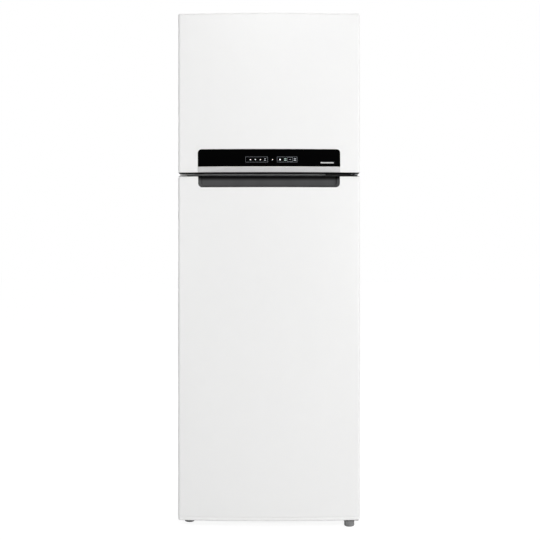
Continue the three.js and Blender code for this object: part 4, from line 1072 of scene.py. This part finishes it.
def shelves():
    for k in (1, 2, 3):
        b = B["glass_shelf_%d" % k]
        top = b.z1 + (0.2 if k == 3 else 1.2)
        piece("shelf_glass_%d" % k, "cabinet", "shelf_glass", glass_pane(b), "glass_shelf_%d" % k)
        nose = shelf_trim(b, b.y0 - 2.5, b.y0 + 12, b.z0 - 3, top)
        rear = shelf_trim(b, b.y1 - 12, b.y1 + 2, b.z0 - 3, b.z1 + (0.2 if k == 3 else 9))
        piece("shelf_trims_%d" % k, "cabinet", "white_plastic", [nose, rear])
        line = block(shrunk(b.x, 4), (b.y0 - 3.1, b.y0 - 2.3), (b.z0 - 0.8, b.z0 + 2.6), 0.3)
        piece("shelf_accent_%d" % k, "cabinet", "brushed_silver", line)
    f = B["freezer_shelf"]
    piece("freezer_glass", "cabinet", "shelf_glass", glass_pane(f), "freezer_shelf")
    trims = [
        shelf_trim(f, f.y0 - 2.5, f.y0 + 11, f.z0 + 0.2, f.z1 + 4),
        shelf_trim(f, f.y1 - 8, f.y1 + 1.5, f.z0 + 0.2, f.z1 + 8),
    ]
    piece("freezer_shelf_trims", "cabinet", "white_plastic", trims)


def drawer(node, name, body, accent):
    b = B[node]
    body_shape = tub(shrunk(b.x, 4), (b.y0 + 2, b.y1), (b.z0, b.z1 - 8), radius=14, draft=2.4)
    face = block(b.x, (b.y0, b.y0 + 4), b.z, 1.2, 9, "y", 6)
    lip = block(shrunk(b.x, 2), (b.y0 + 2, b.y0 + 16), (b.z1 - 3.2, b.z1 - 0.1), 1.4)
    ribs = [
        block(about(x, 1), (b.y0 + 30, b.y1 - 12), (b.z0 + 1.9, b.z0 + 3.2), 0.5) for x in steps(-180, 180, 6)
    ]
    piece(name, body, "clear_plastic", [body_shape, face, lip, *ribs], node)
    trim = block(shrunk(b.x, 6), (b.y0 - 0.9, b.y0 + 1), (b.z1 - 17, b.z1 - 6), 0.7, 3, "y")
    piece(accent, body, "white_plastic", trim)


def drawers():
    drawer("crisper_drawer", "crisper_clear", "crisper_drawer", "crisper_grip")
    drawer("chill_drawer", "chill_clear", "chill_drawer", "chill_grip")
    c = B["crisper_cover"]
    pane = block(c.x, c.y, (c.z1 - 4, c.z1), 0.7, 5)
    piece("crisper_glass", "cabinet", "shelf_glass", pane, "crisper_cover")
    low = c.z0 + 7
    rails = block((c.x1 - 10, c.x1), c.y, (low, c.z1 - 4.05), 1.2, 2, "y")
    bar = block(shrunk(c.x, 7), (c.y0, c.y0 + 12), (c.z0, c.z1 + 1.2), 1.4, 2, "x")
    slot = block((-5, 45), (c.y0 - 2, c.y0 + 14), (low, low + 4), 0.3)
    rear = block(c.x, (c.y1 - 8, c.y1 + 1.5), (c.z1 - 6, c.z1 + 7), 1.5, 3, "x")
    piece("crisper_cover_trim", "cabinet", "white_plastic", [cut(bar, [slot]), both_sides(rails), rear])
    marks = [
        block(about(8 * k - 12, 0.8), (c.y0 - 0.3, c.y0 + 0.4), (low + 6, low + 6 + k), 0.2) for k in range(2, 7)
    ]
    piece("humidity_marks", "cabinet", "dark_plastic", marks)
    s = B["humidity_slider"]
    knob = block(s.x, (s.y0, s.y0 + 5.7), s.z, 1.6, 2.4, "y")
    grips = [block(about(x, 0.5), (s.y0 - 0.5, s.y0 + 1), shrunk(s.z, 2), 0.4) for x in (-4, -2, 0, 2, 4)]
    tongue = block((-4, 4), (s.y0 + 5, s.y1 - 1), (s.z0 + 4.6, s.z0 + 7.4), 0.4)
    piece("humidity_knob", "humidity_slider", "white_plastic", [knob, *grips, tongue], "humidity_slider")
    lamp = B["lamp_cover"]
    low = lamp.z0
    dome = [(0, 10, lamp.z1), (0, 10, low + 6), (1.2, 9, low + 2.4), (4, 8, low + 0.6), (8, 6, low)]
    piece("lamp_lens", "cabinet", "lamp_white", loft_rects(nested(lamp.x, lamp.y, dome)), "lamp_cover")


TRAY_AXIS_Z = 1392


def ice_tray(side, cx, cz):
    """A twisting tray: a plate with two rows of cups, a ribbed knob at the front and a pin at each end."""
    node = "ice_tray_" + side
    front = B[node].y0
    y, half, count = (-126, 76), 46, 6
    top, deck = cz + 13, cz + 5
    rim = block(about(cx, half), y, (deck - 2, top), 1.2, 5)
    hollow = block(about(cx, half - 2), shrunk(y, 2), (deck, top + 5), 1.0, 4)
    rows = steps(*shrunk(y, 3), count)
    cells = [
        (shrunk(sorted((cx + s, cx + s * (half - 3))), 0.6), shrunk(row, 0.6))
        for row in zip(rows, rows[1:]) for s in (-1, 1)
    ]
    holes = [
        block(shrunk(across, 1), shrunk(along, 1), (deck - 6, deck + 3), 0.8, 5) for across, along in cells
    ]
    cups = [tub(*cell, (cz - 13, deck - 0.2), 1.2, 7, 3.0, 1.0, 4) for cell in cells]
    near, far = y
    profile = [(13, front + 4), (14, front + 5), (14, near - 9.5), (13.2, near - 8.6)]
    knob = lathe(profile, (cx, cz), "y", 36, lambda a, t, r: 0.5 * cos(18 * a))
    grip = block(about(cx, 3), (front, front + 6), about(cz, 12.6), 1.6)
    pins = [[(4, near - 9), (4, near + 1)], [(4, far - 1), (4, far + 6.6), (3.4, far + 7)]]
    pins = [lathe(pin, (cx, cz), "y", 20) for pin in pins]
    shapes = [cut(cut(rim, [hollow]), holes), *cups, knob, grip, *pins]
    piece("ice_cups_" + side, node, "clear_plastic", shapes, node)


def ice_maker():
    f, bin_box = B["ice_tray_frame"], B["ice_bin"]
    outer = block(f.x, f.y, f.z, 1.5, 4)
    hollow = block(shrunk(f.x, 3), shrunk(f.y, 4), shrunk(f.z, -4), 1.5, 4)
    axes = [(B["ice_tray_" + side].xm, TRAY_AXIS_Z) for side in ("left", "right")]
    holes = [lathe([(4.6, f.y0 - 3), (4.6, f.y1 + 3)], axis, "y", 24) for axis in axes]
    windows = [block(about(x, 26), (f.y0 - 3, f.y0 + 6), about(z + 34, 10), 3, 6, "y") for x, z in axes]
    piece("ice_frame", "cabinet", "white_plastic", cut(cut(outer, [hollow]), holes + windows), "ice_tray_frame")
    for side, axis in zip(("left", "right"), axes):
        ice_tray(side, *axis)
    bin_shape = tub(bin_box.x, bin_box.y, bin_box.z, radius=14, draft=4)
    grip = block(about(bin_box.xm, 40), about(bin_box.y0, 3), (bin_box.z1 - 14, bin_box.z1 - 4), 2, 4, "y")
    piece("ice_bin_clear", "cabinet", "clear_plastic", [bin_shape, grip], "ice_bin")


# ---- Cold air ----


def evaporator_front():
    """The freezer's back wall, with the fan's grille, air slots at the bottom and pressed ribs."""
    e, rotor = B["evaporator_cover"], B["evaporator_fan"]
    cx, cz = rotor.xm, rotor.zm
    panel_face = block(e.x, (e.y0, e.y0 + 4), e.z, 1.5, 4, "y")
    top = block(e.x, e.y, (e.z1 - 4, e.z1), 1.2)
    eye = lathe([(52, e.y0 - 5), (52, e.y0 + 9)], (cx, cz), "y", 64)
    slots = [
        block(about(x, 16), (e.y0 - 4, e.y0 + 8), (e.z0 + 8, e.z0 + 16), 2, 3.5, "y")
        for x in range(-210, 211, 42)
    ]
    face = cut(panel_face, [eye, *slots])

    def hoop(section, y):
        return loft([in_plane(circle(r, 64, (cx, cz)), "y", y + t) for r, t in section], ring=True)

    collar = hoop([(52, 0), (58, 0), (58, -1.6), (56.5, -3.2), (53.5, -3.4), (52, -2)], e.y0 + 0.4)
    rings = [
        hoop([(r - 0.9, -1), (r + 0.9, -1), (r + 0.9, 1), (r - 0.9, 1)], e.y0 + 1.9) for r in range(22, 51, 7)
    ]
    spoke = block((cx + 14, cx + 53), (e.y0 + 0.8, e.y0 + 3.6), about(cz, 1.3), 0.6)
    spokes = [spoke.turn(angle, "Y", (cx, 0, cz)) for angle in range(0, 360, 45)]
    hub = [(0.05, -0.6), (10, -0.4), (15, 0.6), (16, 2), (16, 3.6)]
    hub = lathe([(r, e.y0 + t) for r, t in hub], (cx, cz), "y", 40)
    ducts = joined([pillow((x, x + 60), (e.z0 + 40, cz - 78), 0, 1.0, 14) for x in (-220, -130, 70, 160)])
    ducts = Shape([(x, e.y0 + 0.2 - y, z) for x, y, z in ducts.verts], ducts.faces)
    shapes = [face, top, collar, *rings, *spokes, hub, ducts]
    piece("evaporator_screen", "cabinet", "liner_plastic", shapes, "evaporator_cover")


def fan_blade(f, start):
    """A cambered blade, twisted from the hub out, whose root begins at the angle start."""
    root, tip, corners = 13, 47, 14
    loops = []
    for r in steps(root, tip, 8):
        share = (r - root) / (tip - root)
        chord, pitch = 12 + 5 * sin(share * 2.6), radians(40 - 20 * share)
        points = []
        for a in (TAU * i / corners for i in range(corners)):
            s, t = chord * cos(a), 0.8 * sin(a) + 1.2 * cos(a) ** 2
            along, axial = s * cos(pitch) - t * sin(pitch), s * sin(pitch) + t * cos(pitch)
            turn = along / r + 0.25 * share + start
            points.append((f.xm + r * cos(turn), f.ym + max(-6.8, min(6.8, axial * 0.8)), f.zm + r * sin(turn)))
        loops.append(points)
    return loft(loops)


def fan():
    f = B["evaporator_fan"]
    front, back = f.y0, f.y1
    profile = [(0.05, front + 0.3), (9, front + 0.4), (13, front + 1.2), (15, front + 3.4)]
    profile += [(15, back - 0.5), (3.2, back - 0.5), (3.2, back - 5)]
    blades = [fan_blade(f, TAU * k / 5) for k in range(5)]
    hub = lathe(profile, (f.xm, f.zm), "y", 40)
    piece("fan_rotor", "evaporator_fan", "white_plastic", [hub, *blades], "evaporator_fan", sharp=50)


def air_column():
    d = B["air_duct"]
    tower = block(d.x, d.y, d.z, 5, 9, "z", 6)
    levels = SHELF_LEVELS + [340]
    vents = [
        block(sorted((s * 22, s * 54)), (d.y0 - 3, d.y0 + 6), (level + z, level + z + 3), 1, 1.4, "y")
        for level in levels for s in (-1, 1) for z in (58, 64, 70)
    ]
    rib = block((-1.4, 1.4), (d.y0 - 1.2, d.y0 + 2), shrunk(d.z, 14), 1.0)
    piece("air_column", "cabinet", "liner_plastic", [cut(tower, vents), rib], "air_duct")


# ---- Feet and rollers ----


def feet():
    for side in ("left", "right"):
        b = B["foot_" + side]
        radius = (b.x1 - b.x0) / 2 - 0.1

        def ribbed(a, t, r):
            return -0.9 * abs(sin(11 * a)) if 3 < t < 20 and r > radius - 0.9 else 0

        profile = [
            (0.05, 0), (13.4, 0), (15.2, 0.8), (16.6, 2.4), (radius, 4.4), (radius, 8.6), (radius - 0.6, 9),
            (radius - 0.6, 9.8), (radius, 10.2), (radius, 19.4), (radius - 1, 20.4), (15.7, 20.6), (15.5, 20),
            (15.5, 15), (4.4, 15), (4, 15.4), (4, 23), (0.05, 23),
        ]
        pad = lathe(profile, (b.xm, b.ym), "z", 132, ribbed)
        piece("levelling_foot_" + side, "foot_" + side, "grey_rubber", pad, "foot_" + side, "foot_rubber", 40)


def rollers():
    tread = [
        (3.6, 0), (8.6, 0), (9, 0.6), (9, 1.4), (11.4, 1.4), (12.4, 2.2), (12.5, 3.4), (12.5, 7), (12.1, 7.4),
        (12.1, 8.6), (12.5, 9), (12.5, 12.6), (12.4, 13.8), (11.4, 14.6), (9, 14.6), (9, 15.4), (8.6, 16),
        (3.6, 16),
    ]
    for node in ("roller_left", "roller_right"):
        b = B[node]
        loops = [in_plane(circle(r, 40, (b.ym, b.zm)), "x", b.x0 + t) for r, t in tread]
        name = node.replace("roller", "roller_wheel")
        piece(name, node, "dark_plastic", loft(loops, ring=True), node, sharp=40)


SLOTS = {part["node"]: part["material_slot"] for part in frame["record"]["subparts"]}


def dress(node, edge=0.6, look=None):
    """A carried-over CAD node: its material, and softened edges on the shown mesh."""
    obj = frame["nodes"][node]
    obj.data.materials.clear()
    obj.data.materials.append(MATERIALS[look or SLOTS[node]])
    weld = obj.modifiers.new("weld", "WELD")
    weld.merge_threshold = 2e-5
    if edge:
        bevel = obj.modifiers.new("edges", "BEVEL")
        bevel.width, bevel.segments, bevel.limit_method = edge * MM, 2, "ANGLE"
        bevel.angle_limit = radians(40)
        bevel.use_clamp_overlap = True


makers = (
    freezer_front, touch_symbols, fridge_front, door_fittings, dairy_fittings, cabinet_shell, rear_sheet,
    machine_room, condenser, compressor, freezer_box, fridge_box, shelves, drawers, ice_maker,
    evaporator_front, fan, air_column, feet, rollers,
)
for make in makers:
    make()
for left_over in ("base_deck", "top_hinge", "top_hinge_cover", "bottom_hinge", "cord_gland", "fan_motor"):
    dress(left_over)
dress("middle_hinge", look="hinge_paint")
for hidden in ("cabinet_foam", "evaporator", "damper_flap"):
    dress(hidden, 0)


# ---- Stage ----


def stage_floor():
    """A pale floor, lit almost to white for the camera."""
    mesh = bpy.data.meshes.new("floor")
    mesh.from_pydata([(-30, -30, 0), (30, -30, 0), (30, 30, 0), (-30, 30, 0)], [], [[0, 1, 2, 3]])
    obj = placed("floor", mesh)
    n = Nodes("floor")
    n.finish(Base_Color=n.mixed(n.noise(2, 3), (0.8, 0.8, 0.8), (0.82, 0.82, 0.82)), Roughness=0.9)
    shown = n.make("ShaderNodeEmission", Color=(1, 1, 1, 1), Strength=1.15)
    camera_ray = n.make("ShaderNodeLightPath").outputs["Is Camera Ray"]
    n.camera_sees(shown, n.combined(camera_ray, 0.8, "MULTIPLY"), "Material Output")
    mesh.materials.append(n.owner)


def world_light():
    """A white surround: dim on the left, bright on the right and overhead."""
    n = Nodes("world", bpy.data.worlds, "Background")
    side = n.make("ShaderNodeSeparateXYZ", Vector=n.places["Generated"]).outputs

    def growth(axis, start, end, low, high):
        return n.ranged(side[axis], low, high, (start, end), smooth=True)

    across = n.combined(growth("X", -0.95, -0.25, 0.02, 0.62), growth("X", -0.1, 0.35, 0, 0.3))
    lifted = n.combined(across, growth("Z", 0.1, 0.4, 0.9, 1.25), "MULTIPLY")
    lifted = n.combined(lifted, growth("Z", 0.45, 0.9, 1.0, 0.3), "MULTIPLY")
    n.finish(Color=(1, 1, 1, 1), Strength=lifted)
    shown = n.make("ShaderNodeBackground", Color=(1, 1, 1, 1))
    n.camera_sees(shown, n.make("ShaderNodeLightPath").outputs["Is Camera Ray"], "World Output")
    bpy.context.scene.world = n.owner


def softbox(name, place, aim, size, watts):
    light = bpy.data.lights.new(name, "AREA")
    light.shape = "RECTANGLE"
    light.size, light.size_y = size
    light.energy = watts
    obj = placed(name, light)
    obj.location = place
    obj.rotation_euler = (Vector(aim) - Vector(place)).to_track_quat("-Z", "Y").to_euler()


stage_floor()
world_light()
softbox("key", (0.0, -7.0, 5.0), (0, -0.2, 1.0), (3.2, 1.6), 205)
softbox("front_left", (-2.0, -4.1, 1.15), (0, 0, 1.1), (0.8, 1.2), 10)
softbox("front_right", (2.2, -3.9, 1.15), (0, 0, 1.1), (0.8, 1.2), 16)
softbox("right_edge", (2.6, -0.9, 1.4), (0.2, -0.2, 0.9), (1.0, 2.2), 8)
softbox("back", (-1.6, 3.4, 1.6), (0, 0.2, 0.9), (2.0, 2.0), 48)

scene = bpy.context.scene
scene.view_settings.view_transform = "Standard"
camera = bpy.data.cameras.new("camera")
camera.sensor_width = 36
camera.lens = 68.5
camera.shift_y = -0.0314
camera_object = placed("camera", camera)
camera_object.location = (0.0034, -3.829, 0.935)
camera_object.rotation_euler = (pi / 2, 0, 0)
scene.camera = camera_object
